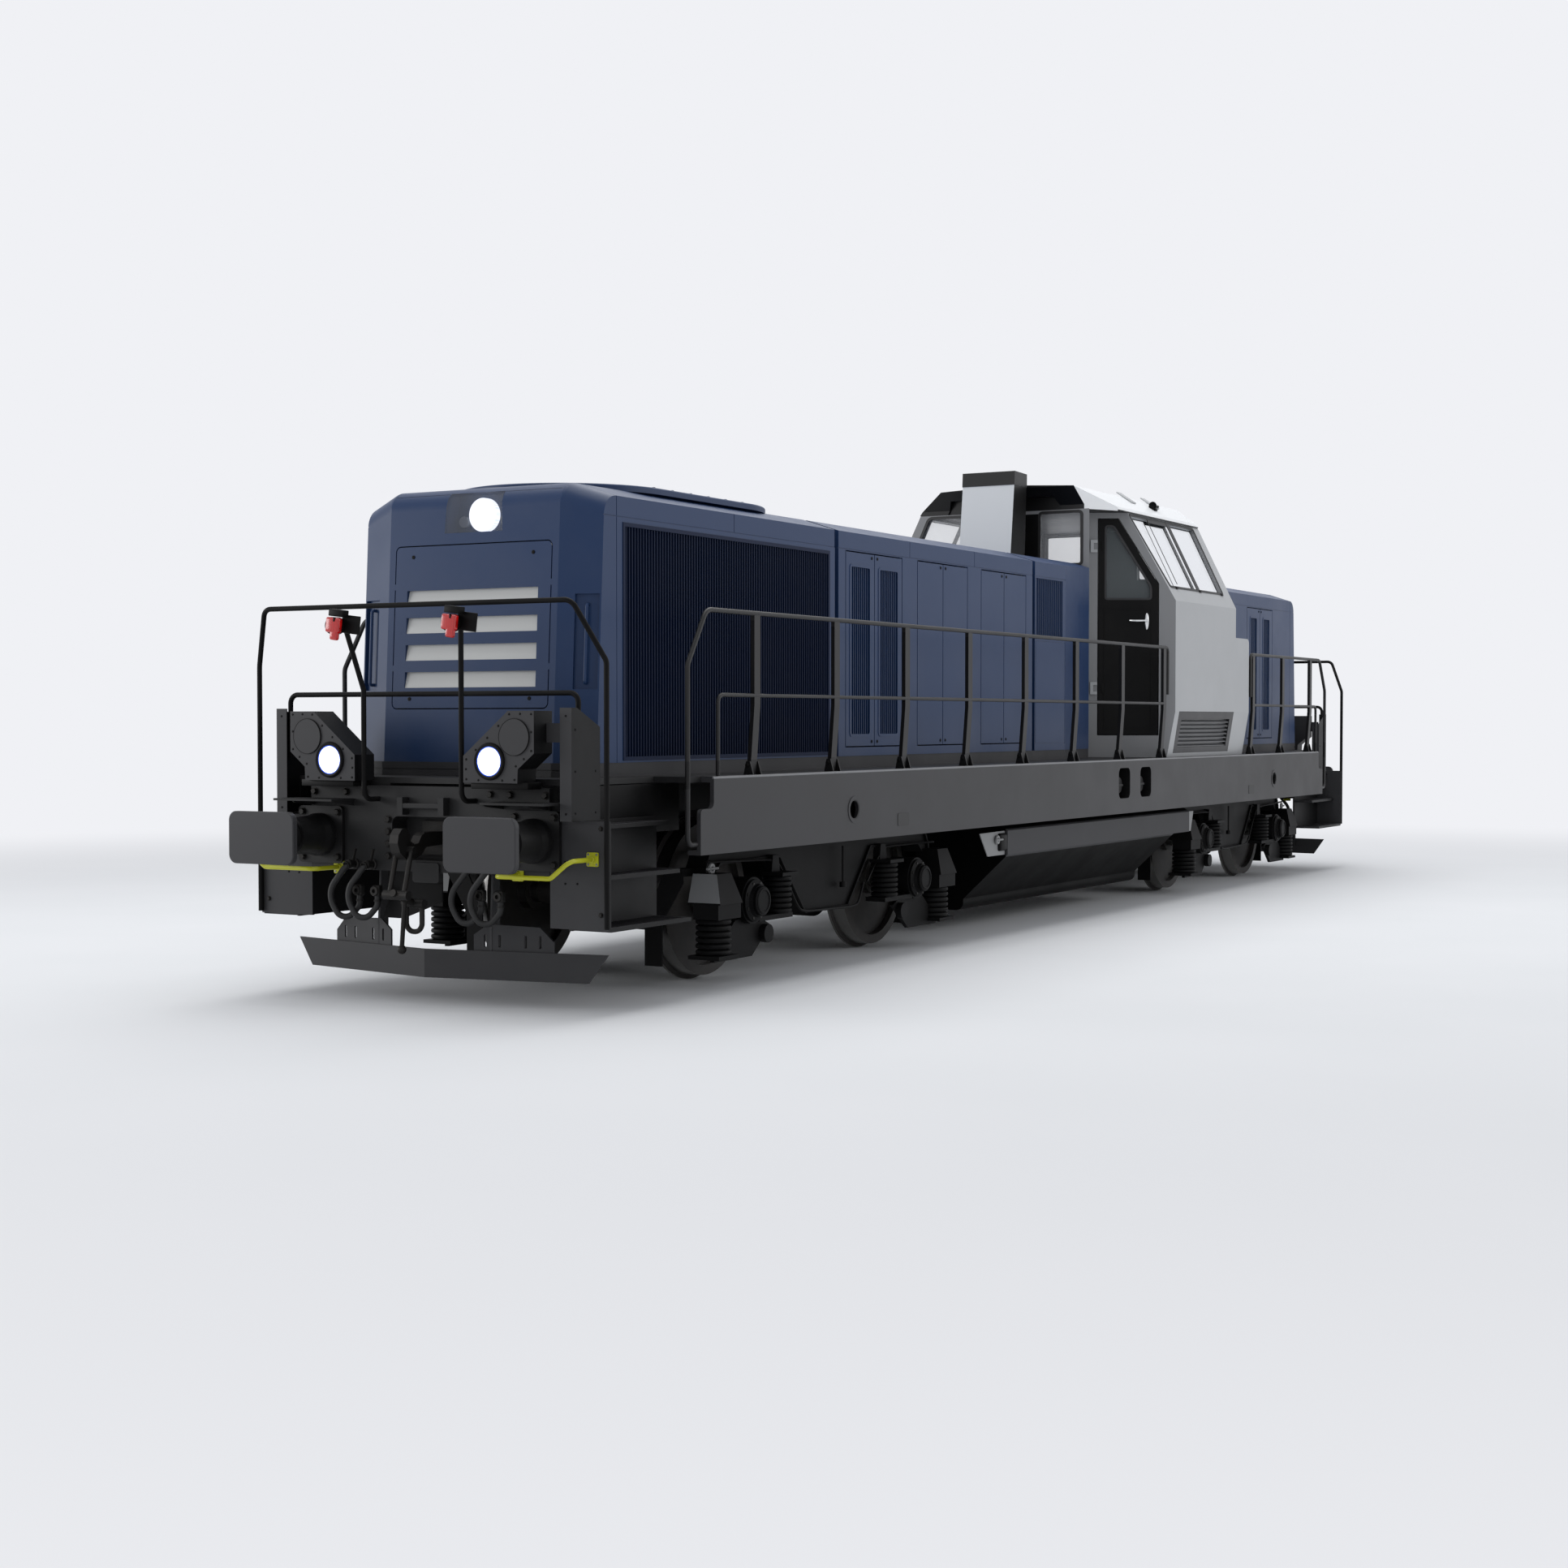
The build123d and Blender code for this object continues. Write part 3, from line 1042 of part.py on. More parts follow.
# ---------------------------------------------------------------- cab
def cab_plan(inset=0):
    """Plan of the cab: square to the track, with a door niche at two opposite corners."""
    front, turn = near(CAB_NEAR), near(CAB_NEAR) + near(CAB_FAR)
    half = [(-CAB_HALF, front), (TOWER_HOOD_TOE, front), (NICHE_NEAR[0], near(NICHE_NEAR[1])),
            (CAB_HALF, near(CAB_NICHE))]
    plan = make_face(Polyline(*half, *[(-x, turn - y) for x, y in half], close=True))
    return offset(plan, amount=-inset, kind=Kind.INTERSECTION) if inset else plan


def cab_body(inset, base, top):
    """The cab's outer or inner form: sides that lean in above the waist and draw in at the foot."""
    side = CAB_HALF - inset
    head = side - (top - CAB_WAIST) * CAB_LEAN
    foot = side - CAB_FOOT_IN * (CAB_FOOT - base) / (CAB_FOOT - DECK_TOP)
    half = [(foot, base), (side, CAB_FOOT), (side, CAB_WAIST), (head, top)]
    section = half + [(-x, z) for x, z in reversed(half)]
    length = along(section, (near(CAB_NEAR) - 100, near(CAB_FAR) + 100))
    return length & extrude(Pos(0, 0, base) * cab_plan(inset), amount=top - base, dir=(0, 0, 1))


DOOR_SILL = CAB_FLOOR + 177
DOOR_HEAD = CAB_WAIST + 820
DOOR_THICK = 45
DOOR_PIN = 14


def niche_frame():
    """The plane of the near door wall: local x runs outwards along the wall, local y is up."""
    wall = atan2(CAB_NICHE - NICHE_NEAR[1], CAB_HALF - NICHE_NEAR[0])
    origin = (NICHE_NEAR[0], near(NICHE_NEAR[1]), 0)
    return Plane(origin, x_dir=(cos(wall), sin(wall), 0), z_dir=(sin(wall), -cos(wall), 0))


DOOR_START = 104          # from the niche corner to the door's hinge edge
DOOR_WIDTH = 600
DOOR_KNEE = CAB_WAIST + 170
DOOR_SLOPE = 0.617


def door_outline(grow=0):
    left, right = DOOR_START - grow, DOOR_START + DOOR_WIDTH + grow
    head = DOOR_HEAD + grow
    return [(left, DOOR_SILL - grow), (right, DOOR_SILL - grow), (right, DOOR_KNEE),
            (right - (head - DOOR_KNEE) * DOOR_SLOPE, head), (left, head)]


def door_glass_outline(grow=0):
    left, right = DOOR_START + 76 - grow, DOOR_START + DOOR_WIDTH - 78 + grow
    head, foot, knee = DOOR_HEAD - 75 + grow, CAB_WAIST + 22 - grow, DOOR_KNEE - 33
    return [(left, foot), (right, foot), (right, knee), (right - (head - knee) * DOOR_SLOPE, head), (left, head)]


def on_niche(points, depth):
    """A prism on the door wall from one depth to another behind its face."""
    frame = niche_frame()
    face = frame.offset(-depth[0]) * make_face(Polyline(*points, close=True))
    return extrude(face, amount=-(depth[1] - depth[0]))


def door_pivots(grow=0):
    """The door's pivot pins, or their bores when grown, at its hinge edge."""
    frame = niche_frame()
    reach = PANEL_GAP + PIN_DEPTH + (1 if grow else 0)
    foot = frame.from_local_coords(Vector(DOOR_START + HINGE_INSET, 0, -HINGE_INSET))
    pins = [rod((foot.X, foot.Y, low), (foot.X, foot.Y, high), DOOR_PIN + 2 * grow)
            for low, high in ((DOOR_SILL - reach, DOOR_SILL + 5), (DOOR_HEAD - 5, DOOR_HEAD + reach))]
    return pins


def door_moulding():
    """The raised line round the door's lower panel."""
    left, right = DOOR_START + 70, DOOR_START + DOOR_WIDTH - 70
    foot, head, width = DOOR_SILL + 80, CAB_WAIST - 90, 14

    def outline(grow):
        return [(left - grow, foot - grow), (right + grow, foot - grow), (right + grow, head + grow),
                (left - grow, head + grow)]

    return on_niche(outline(width), (-4, 1)) - on_niche(outline(0), (-5, 2))


def cab_door():
    door = on_niche(door_outline(), (0, DOOR_THICK))
    door -= on_niche(door_glass_outline(), (-1, DOOR_THICK + 1))
    return fuse([door, door_moulding()] + door_pivots())


def cab_door_glass():
    return on_niche(door_glass_outline(-SEAT_GAP), (16, 28))


def turned(shape):
    """The same piece at the cab's other corner, half a turn about the cab's middle."""
    middle = near((CAB_NEAR + CAB_FAR) / 2)
    return Pos(0, middle, 0) * Rot(0, 0, 180) * Pos(0, -middle, 0) * shape


END_WINDOW = (CAB_WAIST + 340, CAB_WAIST + 860)
WINDOW_POST = 320


def cab_windows_cut(depth, grow=0):
    """The cab's end windows as cutters, or as panes when depth is thin."""
    foot, head = END_WINDOW[0] - grow, END_WINDOW[1] + grow
    y = (near(CAB_NEAR) + depth[0], near(CAB_NEAR) + depth[1])
    right = along([(WINDOW_POST - grow, foot), (770 + grow, foot), (770 + grow, head), (WINDOW_POST - grow, head)], y)
    lean = CAB_LEAN * (head - CAB_WAIST - 620)
    left = along([(-1045 - grow, foot), (-WINDOW_POST + grow, foot), (-WINDOW_POST + grow, head),
                  (-1010 + lean - grow, head), (-1045 - grow, CAB_WAIST + 560)], y)
    return [right, left, turned(right), turned(left)]


SIDE_WINDOW = (CAB_NEAR + 790, CAB_FAR - 220, CAB_WAIST + 145, CAB_WAIST + 860)


def side_windows_cut(depth, grow=0):
    """Windows in the leaning upper sides."""
    start, end, foot, head = SIDE_WINDOW

    def at(height, level):
        return (CAB_HALF - (height - CAB_WAIST) * CAB_LEAN - level, height)

    low, high = foot - grow, head + grow
    section = [at(low, depth[0]), at(low, depth[1]), at(high, depth[1]), at(high, depth[0])]
    slab = along(section, (near(start) - 300, near(end) + 300))
    outline = [(near(start) + 125 - grow, low), (near(end) - 15 + grow, low), (near(end) + 15 + grow, high),
               (near(start) - 125 - grow, high)]
    right = slab & across(outline, (800, 1600))
    return [right, turned(right)]


CAB_LOUVRE = (CAB_NEAR + 1085, CAB_FAR - 165, DECK_TOP + 98, DECK_TOP + 387)
LOUVRE_SLATS = 7
LOUVRE_DEPTH = 36
LOUVRE_FRAME = (100, 110, 60, 78)     # width of its flush frame at the near, far, lower and upper edges


def cab_louvre_recess():
    start, end, foot, head = CAB_LOUVRE
    y = (near(start), near(end))
    return block((CAB_HALF - 200, CAB_HALF + 20), y, (foot, head)) - cab_body(LOUVRE_DEPTH, DECK_TOP, CAB_EAVES)


def cab_louvre_slats():
    """Slanting slats that follow the drawn-in foot of the side."""
    start, end, foot, head = CAB_LOUVRE
    pitch = (head - foot) / LOUVRE_SLATS
    slats = []
    for i in range(LOUVRE_SLATS):
        z = foot + pitch * i
        face = CAB_HALF - CAB_FOOT_IN * (CAB_FOOT - z) / (CAB_FOOT - DECK_TOP)
        back = face - LOUVRE_DEPTH - 2
        section = [(back, z + pitch * 0.6), (back, z + pitch * 0.8), (face - 4, z + pitch * 0.3), (face - 4, z + 3)]
        slats.append(along(section, (near(start) - 1, near(end) + 1)))
    return slats


def cab_louvre_joint():
    """The joint round the louvre's flush frame."""
    start, end, foot, head = CAB_LOUVRE
    near_edge, far_edge, low, high = LOUVRE_FRAME
    y, z = (near(start) - near_edge, near(end) + far_edge), (foot - low, head + high)
    ring = block((CAB_HALF - 200, CAB_HALF + 20), y, z)
    ring -= block((CAB_HALF - 201, CAB_HALF + 21), (y[0] + 5, y[1] - 5), (z[0] + 5, z[1] - 5))
    return ring - cab_body(3, DECK_TOP, CAB_EAVES)


def cab_walls():
    """The hollow cab, open at the top, with its door, window and louvre openings."""
    shell = cab_body(0, DECK_TOP, CAB_EAVES) - cab_body(CAB_WALL, CAB_FLOOR + CAB_WALL, CAB_EAVES + 1)
    hole = fuse([on_niche(door_outline(PANEL_GAP), (-20, CAB_WALL + 40))] + door_pivots(PIN_GAP))
    recess = cab_louvre_recess()
    joint = cab_louvre_joint()
    for cutter in (hole, turned(hole), recess, turned(recess), joint, turned(joint)):
        shell -= cutter
    for cutter in cab_windows_cut((-20, CAB_WALL + 20)) + side_windows_cut((-40, CAB_WALL + 60)):
        shell -= cutter
    slats = cab_louvre_slats()
    return fuse([shell] + slats + [turned(slat) for slat in slats])


def cab_glass():
    """Panes set in the middle of the walls."""
    return cab_windows_cut((18, 30), -SEAT_GAP) + side_windows_cut((22, 34), -SEAT_GAP)


def cab_roof():
    """A low ridged roof over both door niches, with a brow at each end that leans out over the windows."""
    front, back = near(ROOF_FRONT), near(CAB_NEAR + CAB_FAR - ROOF_FRONT)
    set_back = ROOF_BROW_SET
    half = [(ROOF_GUTTER_HALF - 12, CAB_EAVES), (ROOF_GUTTER_HALF, CAB_EAVES + 8), (ROOF_EAVE_HALF, ROOF_EAVE),
            (ROOF_TOP_HALF, ROOF_TOP)]
    section = half + [(0, ROOF_CREST)] + [(-x, z) for x, z in reversed(half)]
    profile = [(front + set_back, CAB_EAVES), (front + set_back, ROOF_EAVE), (front, ROOF_TOP), (front, ROOF_CREST + 1),
               (back, ROOF_CREST + 1), (back, ROOF_TOP), (back - set_back, ROOF_EAVE), (back - set_back, CAB_EAVES)]
    roof = along(section, (front, back)) & across(profile, (-ROOF_GUTTER_HALF, ROOF_GUTTER_HALF))
    x0, x1, y1 = ROOF_CUT
    slope = (near(y1) - front - set_back) / (x1 - x0)
    corner = upright([(x0 - 120 / slope - 40, front - 80), (ROOF_GUTTER_HALF + 60, front - 80),
                      (ROOF_GUTTER_HALF + 60, near(y1) + slope * (ROOF_GUTTER_HALF + 60 - x1)), (x0, front + set_back)],
                     (CAB_EAVES - 1, ROOF_CREST + 1))
    pocket = along([(-700, CAB_EAVES - 1), (-640, ROOF_EAVE + 90), (480, ROOF_EAVE + 90), (560, CAB_EAVES - 1)],
                   (front - 10, front + set_back + 20))
    for cutter in (corner, pocket):
        roof -= cutter
        roof -= turned(cutter)
    gutter = block((ROOF_GUTTER_HALF - 14, ROOF_GUTTER_HALF + 11), (near(CAB_NEAR + 475), near(CAB_FAR - 165)),
                   (CAB_EAVES, CAB_EAVES + 9))
    return fuse([roof, gutter, turned(gutter)])


def cab_interior():
    floor = CAB_FLOOR + CAB_WALL
    middle = near((CAB_NEAR + CAB_FAR) / 2)
    shapes = []
    desk = across([(middle - 700, floor), (middle - 700, floor + 1150), (middle - 1000, floor + 1250),
                   (middle - 1150, floor + 1250), (middle - 1150, floor)], (-1250, 200))
    seat = fuse([rod((-700, middle - 150, floor), (-700, middle - 150, floor + 420), 120),
                 block((-950, -450), (middle - 400, middle + 90), (floor + 420, floor + 540)),
                 block((-930, -470), (middle + 20, middle + 110), (floor + 540, floor + 1300))])
    for piece in (desk, seat):
        shapes += [piece, turned(piece)]
    return shapes


BOX_LENGTH = 458
BOX_TOP = DECK_TOP + 1267


def cab_side_boxes():
    """Equipment cabinets outboard of the hoods, against the cab's end walls."""
    start, end = near(CAB_FAR), near(CAB_FAR) + BOX_LENGTH
    section = [(1000, DECK_TOP), (CAB_HALF - CAB_FOOT_IN, DECK_TOP), (CAB_HALF, CAB_FOOT), (CAB_HALF, BOX_TOP),
               (1000, BOX_TOP)]
    box = along(section, (start, end))
    box = fillet(box.edges().filter_by(Axis.X).group_by(Axis.Z)[-1].sort_by(Axis.Y)[-1:], 60)
    return [box, turned(box)]


# ---------------------------------------------------------------- tank and engine
TANK_START = NEAR_PIVOT + 2798
TANK_STRIP_END = FAR_PIVOT - 2145
TANK_END = FAR_PIVOT - 2620
TANK_STRIP = (1350, 663, 870)      # half width, foot, top
TANK_BODY = (930, 265, 165)        # half width, shoulder, bottom
TANK_CORNER = 70


def fuel_tank():
    """Side strips at full width over a tapered tank hung from the centre beams."""
    out, strip_foot, strip_top = TANK_STRIP
    half, shoulder, bottom = TANK_BODY
    neck = CENTRE_BEAM_X[1] + 20
    upper = [(out, strip_foot), (out, strip_top), (out - 60, strip_top + 40), (neck, strip_top + 40),
             (neck, CENTRE_BEAM_BOTTOM - SEAT_GAP)]
    upper += [(-x, z) for x, z in reversed(upper)]
    strips = along(upper, (near(TANK_START), near(TANK_STRIP_END)))
    lower = [(out, strip_foot), (half, shoulder), (half, bottom), (-half, bottom), (-half, shoulder), (-out, strip_foot)]
    body = along(lower, (near(TANK_START), near(TANK_END)))
    edges = body.edges().filter_by(Axis.Y).group_by(Axis.Z)[0]
    body = fillet(edges, TANK_CORNER)
    return fuse([strips, body])


def engine_block():
    """The engine and the silencer's generator set as plain masses on the deck."""
    engine = block((-480, 480), (near(ENGINE_START + 478), near(ENGINE_END - 300)), (DECK_TOP, DECK_TOP + 1453))
    second = block((-600, 600), (near(TOWER_START + 40), near(TOWER_START + 840)), (DECK_TOP, DECK_TOP + 1053))
    return [engine, second]


# ---------------------------------------------------------------- output
def nodes():
    casings, heads = buffer_parts()
    table = {
        "underframe": underframe(), "side_sills": side_sills(), "buffers": casings + heads,
        "couplings": both_ends([coupling()]), "brake_hoses": both_ends(hoses()),
        "snow_ploughs": both_ends([snow_plough()]), "end_steps": both_ends(end_posts() + steps()),
        "lamp_housings": both_ends(lamp_housing()),
        "lamp_glasses": both_ends(lamp_glasses() + headlight_glass()), "end_handrails": both_ends(end_handrail()),
        "marker_lamps": both_ends(marker_lamps()), "shunter_handles": both_ends(shunter_handles()),
        "side_handrails": side_handrails(), "fuel_tank": fuel_tank(), "radiator_hood": radiator_hood(),
        "hood_grilles": hood_grilles(), "engine_hood": engine_hood(), "tower_hood": tower_hood(),
        "short_hood": short_hood(), "end_hatches": end_hatches(), "exhaust_tower": exhaust_tower(),
        "fan_cowl": fan_cowl(), "roof_fan_near": roof_fan(FANS[0]), "roof_fan_far": roof_fan(FANS[1]),
        "cab_walls": cab_walls(), "cab_roof": cab_roof(),
        "cab_glass": cab_glass(), "cab_interior": cab_interior(), "cab_side_boxes": cab_side_boxes(),
        "engine_block": engine_block(),
        "cab_door_near": cab_door(), "cab_door_far": turned(cab_door()),
        "cab_door_glass_near": cab_door_glass(), "cab_door_glass_far": turned(cab_door_glass())}
    for name, pivot in (("near", near(NEAR_PIVOT)), ("far", near(FAR_PIVOT))):
        table[f"bogie_frame_{name}"] = bogie_frame(pivot)
        table[f"suspension_{name}"] = suspension(pivot)
        table[f"traction_motors_{name}"] = traction_motors(pivot)
    for number, (pivot, way) in enumerate(((NEAR_PIVOT, -1), (NEAR_PIVOT, 1), (FAR_PIVOT, -1), (FAR_PIVOT, 1))):
        table[f"wheelset_{number + 1}"] = wheelset(near(pivot) + way * WHEELBASE / 2)
    table.update(leaves())
    return table


if __name__ == "__main__":
    os.makedirs("parts", exist_ok=True)
    lift = Pos(0, 0, FLANGE_DEPTH)
    for name, shape in nodes().items():
        pieces = shape if isinstance(shape, list) else [shape]
        solids = [lift * solid for piece in pieces for solid in piece.solids()]
        export_step(Compound(children=solids) if len(solids) > 1 else solids[0], f"parts/{name}.step")
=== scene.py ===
# %% [markdown]
# # A four-axle diesel locomotive, dressed for a studio picture
# The model made in CAD is loaded as a fixed frame: +X is its right side, +Y runs from the end of the long
# hood to the end of the short hood, +Z is up, and everything is in metres. The big forms are there already,
# so this lesson adds what a CAD model lacks: paint, rubber, glass and bolts, and the light to see them by.

# %% Load the frame
from math import cos, pi, radians, sin

import bmesh
import bpy
from mathutils import Matrix, Vector


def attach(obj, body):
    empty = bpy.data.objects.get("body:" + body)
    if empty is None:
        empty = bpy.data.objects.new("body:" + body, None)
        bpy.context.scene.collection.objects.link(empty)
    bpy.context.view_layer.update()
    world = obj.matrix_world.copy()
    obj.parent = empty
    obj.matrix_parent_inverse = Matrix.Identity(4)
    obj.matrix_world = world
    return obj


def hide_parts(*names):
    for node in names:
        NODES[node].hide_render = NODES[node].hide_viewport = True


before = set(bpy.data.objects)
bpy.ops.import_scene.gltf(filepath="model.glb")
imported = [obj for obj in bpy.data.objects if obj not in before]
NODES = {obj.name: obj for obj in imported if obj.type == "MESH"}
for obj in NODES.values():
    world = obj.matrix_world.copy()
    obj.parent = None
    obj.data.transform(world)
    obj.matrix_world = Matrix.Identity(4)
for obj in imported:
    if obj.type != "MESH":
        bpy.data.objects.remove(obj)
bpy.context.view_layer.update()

# %% [markdown]
# ## Camera
# It comes first, so that every later choice is seen from the same place. The lens and the stand were fitted
# to the straight edges of the locomotive: a long lens from about 20 metres keeps the hood's sides nearly
# parallel, and a height of 1.8 metres is a person's eye.

# %% Camera
camera_data = bpy.data.cameras.new("camera")
camera_data.sensor_width = 36
camera_data.lens = 51.31
camera = bpy.data.objects.new("camera", camera_data)
camera.location = (9.1543, -19.6158, 1.8441)
camera.rotation_euler = (radians(88.3831), 0, radians(29.558))
bpy.context.scene.collection.objects.link(camera)
bpy.context.scene.camera = camera

# %% [markdown]
# ## Places
# Railway drawings give heights above the rail head and lengths from the buffer faces, in millimetres. Two
# small helpers turn such numbers into the frame's metres, so that the lesson can use the drawing's numbers.

# %% Helpers for places
HALF_LENGTH = 8.77         # from the middle to the buffer faces
RAIL_LEVEL = 0.03          # the wheel flanges reach this far below the rail head
CAB_MIDDLE = 11305         # the cab is the same again when turned half round this place


def spot(x, y, z):
    """The point at x from the middle, y from the near buffer faces and z above the rail head."""
    return Vector((x / 1000, y / 1000 - HALF_LENGTH, z / 1000 + RAIL_LEVEL))


print("near buffer faces:", spot(0, 0, 1060), "cab middle:", spot(0, CAB_MIDDLE, 0))

# %% [markdown]
# ## Material helpers
# A colour is written as the eye sees it, in sRGB hex, and the shader wants linear light, so one function
# turns the first into the second. Another adds a node with its settings and its links in one call. Keys in
# small letters are the node's own properties and the others are its sockets.

# %% Colour and node helpers
def linear(colour):
    """An sRGB hex colour as linear RGBA."""
    shares = [int(colour[i:i + 2], 16) / 255 for i in (1, 3, 5)]
    return tuple(c / 12.92 if c <= 0.04045 else ((c + 0.055) / 1.055) ** 2.4 for c in shares) + (1.0,)


def add_node(tree, kind, settings=None, links=None):
    """Adds a node to a tree with its settings, and links outputs into its sockets."""
    node = tree.nodes.new("ShaderNode" + kind)
    for key, value in (settings or {}).items():
        if isinstance(key, str) and key[0].islower():
            setattr(node, key, value)
        else:
            node.inputs[key].default_value = value
    for key, output in (links or {}).items():
        tree.links.new(output, node.inputs[key])
    return node


def start_material(name):
    """A new material with its node tree and its shader."""
    material = bpy.data.materials.new(name)
    material.use_nodes = True
    return material, material.node_tree, material.node_tree.nodes["Principled BSDF"]


# %% [markdown]
# Parts of one CAD node often have different colours, such as the dark brow of a pale roof. A mask picks such
# a part by its place and by the way its faces look. It is written as limits by name: "x" is a place in metres,
# "facing x" a share of the face's direction, and "size" leaves out the sign.

# %% Masks
def where(tree, limits):
    """A mask that is 1 where each named value lies between its two limits, and else 0."""
    place = add_node(tree, "SeparateXYZ", links={0: add_node(tree, "TexCoord").outputs["Object"]})
    facing = add_node(tree, "SeparateXYZ", links={0: add_node(tree, "NewGeometry").outputs["True Normal"]})
    mask = None
    for name, (low, high) in limits.items():
        value = (facing if "facing" in name else place).outputs[name[-1].upper()]
        if "size" in name:
            value = add_node(tree, "Math", {"operation": "ABSOLUTE"}, {0: value}).outputs[0]
        inside = add_node(tree, "Math", {"operation": "COMPARE", 1: (low + high) / 2, 2: (high - low) / 2},
                          {0: value}).outputs[0]
        mask = inside if mask is None else add_node(tree, "Math", {"operation": "MULTIPLY"},
                                                    {0: mask, 1: inside}).outputs[0]
    return mask


# %% [markdown]
# ## Sprayed steel
# Nearly every surface is sheet steel with two-pack paint sprayed on. It gives the eye three things: a soft
# gloss from the clear resin on top, a faint orange peel where the drops ran together, and clouds of dust
# that make the gloss uneven. The peel's cells are 3 mm wide on the real one, too fine to show from here, so
# they are drawn at 8 mm. The dust comes in clouds of about half a metre.

# %% Sprayed steel
PEEL = 1 / 0.008           # noise cells per metre
CLOUD = 1 / 0.55


def sprayed_steel(name, colour, roughness=0.36, coat=0.25, dust=0.05, parts=(), shine=0.25):
    """Painted sheet steel; parts holds (limits, colour) for each place that is painted otherwise."""
    material, tree, shader = start_material(name)
    coordinates = add_node(tree, "TexCoord").outputs["Object"]
    clouds = add_node(tree, "TexNoise", {"Scale": CLOUD, "Detail": 5, "Roughness": 0.6}, {"Vector": coordinates})
    peel = add_node(tree, "TexNoise", {"Scale": PEEL, "Detail": 1}, {"Vector": coordinates})
    share = add_node(tree, "MapRange", {"From Min": 0.35, "From Max": 0.75, "To Min": 0, "To Max": dust},
                     {"Value": clouds.outputs["Fac"]})
    dusty = add_node(tree, "Mix", {"data_type": "RGBA", 6: linear(colour), 7: linear("#8f8c86")},
                     {0: share.outputs[0]})
    for limits, other in parts:
        dusty = add_node(tree, "Mix", {"data_type": "RGBA", 7: linear(other)},
                         {0: where(tree, limits), 6: dusty.outputs[2]})
    gloss = add_node(tree, "MapRange", {"From Min": 0.3, "From Max": 0.75, "To Min": roughness - 0.04,
                                        "To Max": roughness + 0.09}, {"Value": clouds.outputs["Fac"]})
    bump = add_node(tree, "Bump", {"Strength": 0.08, "Distance": 0.0004}, {"Height": peel.outputs["Fac"]})
    tree.links.new(dusty.outputs[2], shader.inputs["Base Color"])
    tree.links.new(gloss.outputs[0], shader.inputs["Roughness"])
    tree.links.new(bump.outputs[0], shader.inputs["Normal"])
    shader.inputs["Coat Weight"].default_value = coat
    shader.inputs["Coat Roughness"].default_value = 0.2
    shader.inputs["Specular IOR Level"].default_value = shine
    return material


HOOD_NAVY = sprayed_steel("navy_sprayed_steel", "#1c3459", 0.4, 0.04, 0.04)
FIN_NAVY = sprayed_steel("dark_navy_sprayed_fins", "#0d1b36", 0.5, 0, 0.03, shine=0.12)
FRAME_GREY = sprayed_steel("anthracite_sprayed_steel", "#313133", 0.48, 0, 0.04)
DARK_GREY = sprayed_steel("dark_sprayed_steel", "#0e0e0f", 0.5, 0, 0.02, shine=0.08)
SATIN_BLACK = sprayed_steel("black_sprayed_steel", "#0a0a0b", 0.45, 0, 0.02, shine=0.1)
LUG_GREY = sprayed_steel("pale_primed_steel", "#8b8c8d", 0.5, 0, 0.06)
PALE_GREY = sprayed_steel("pale_sprayed_steel", "#a9abad", 0.42, 0.1, 0.03)
YELLOW_GREEN = sprayed_steel("yellow_sprayed_steel", "#b6b81e", 0.35, 0.3, 0.04)
MACHINE_GREY = sprayed_steel("machinery_enamel", "#3a3d40", 0.55, 0, 0.1)
print("painted finishes so far:", len(bpy.data.materials))

# %% [markdown]
# ## Steel panels in two colours
# Some sheets carry more than one colour. The slots of the end hatches show pale plates, which are the only
# faces that look a little upwards; their near white is partly pale paint and partly a painted highlight where they
# face the light from above. The roof is pale and its brows are black. The exhaust tower is pale in front only.
# The cab is light grey all round; its end walls are painted darker as painted shade where they face away from
# the light, its inside faces are painted dark grey as painted shade inside the cab, and the louvre's frame is
# darker still.
# The outermost spring housings of the black bogies have pale end faces.

# %% Panels in two colours
# The slot plates are partly pale paint and partly a painted highlight on the faces that look up towards the light.
PALE_LIT_SLOT_PLATES = {"facing z": (0.16, 0.6)}
BROW_ENDS = {"size facing y": (0.55, 1.1)}
BROW_UNDERSIDE = {"facing z": (-1.1, -0.2)}
GUTTER = {"size x": (0.9995, 1.03), "z": (3.94, 3.958)}
TOWER_SIDES = {"size facing x": (0.5, 1.1)}
TOWER_BACK = {"facing y": (0.5, 1.1)}
TOWER_CAP = {"z": (spot(0, 0, 4129).z, 9)}
# Painted shade: the cab's end walls are the same light grey as its sides, painted darker where they face away from
# the light.
SHADED_CAB_ENDS = {"size facing y": (0.42, 1.1)}
# Painted shade: the inside faces of the cab walls are painted dark grey for the shade inside the cab.
SHADED_CAB_INSIDE = {"size x": (-1, 0.62), "y": (spot(0, 9950, 0).y, spot(0, 12660, 0).y), "z": (1.6, 4.0)}
SHADED_INSIDE_LEFT = {"x": (-2, -0.62), "facing x": (0.3, 1.1), "z": (1.6, 4.0)}
SHADED_INSIDE_RIGHT = {"x": (0.62, 2), "facing x": (-1.1, -0.3), "z": (1.6, 4.0)}
HEIGHTS = (spot(0, 0, 1486).z, spot(0, 0, 1911).z)
LOUVRE_RIGHT = {"x": (1.3, 2), "y": (spot(0, 10901, 0).y, spot(0, 12639, 0).y), "z": HEIGHTS}
LOUVRE_LEFT = {"x": (-2, -1.3), "y": (spot(0, 9971, 0).y, spot(0, 11709, 0).y), "z": HEIGHTS}
SLAT_HEIGHTS = (spot(0, 0, 1549).z, spot(0, 0, 1830).z)
SLATS_RIGHT = {"x": (1.3, 1.433), "y": (spot(0, 11004, 0).y, spot(0, 12526, 0).y), "z": SLAT_HEIGHTS}
SLATS_LEFT = {"x": (-1.433, -1.3), "y": (spot(0, 10084, 0).y, spot(0, 11606, 0).y), "z": SLAT_HEIGHTS}

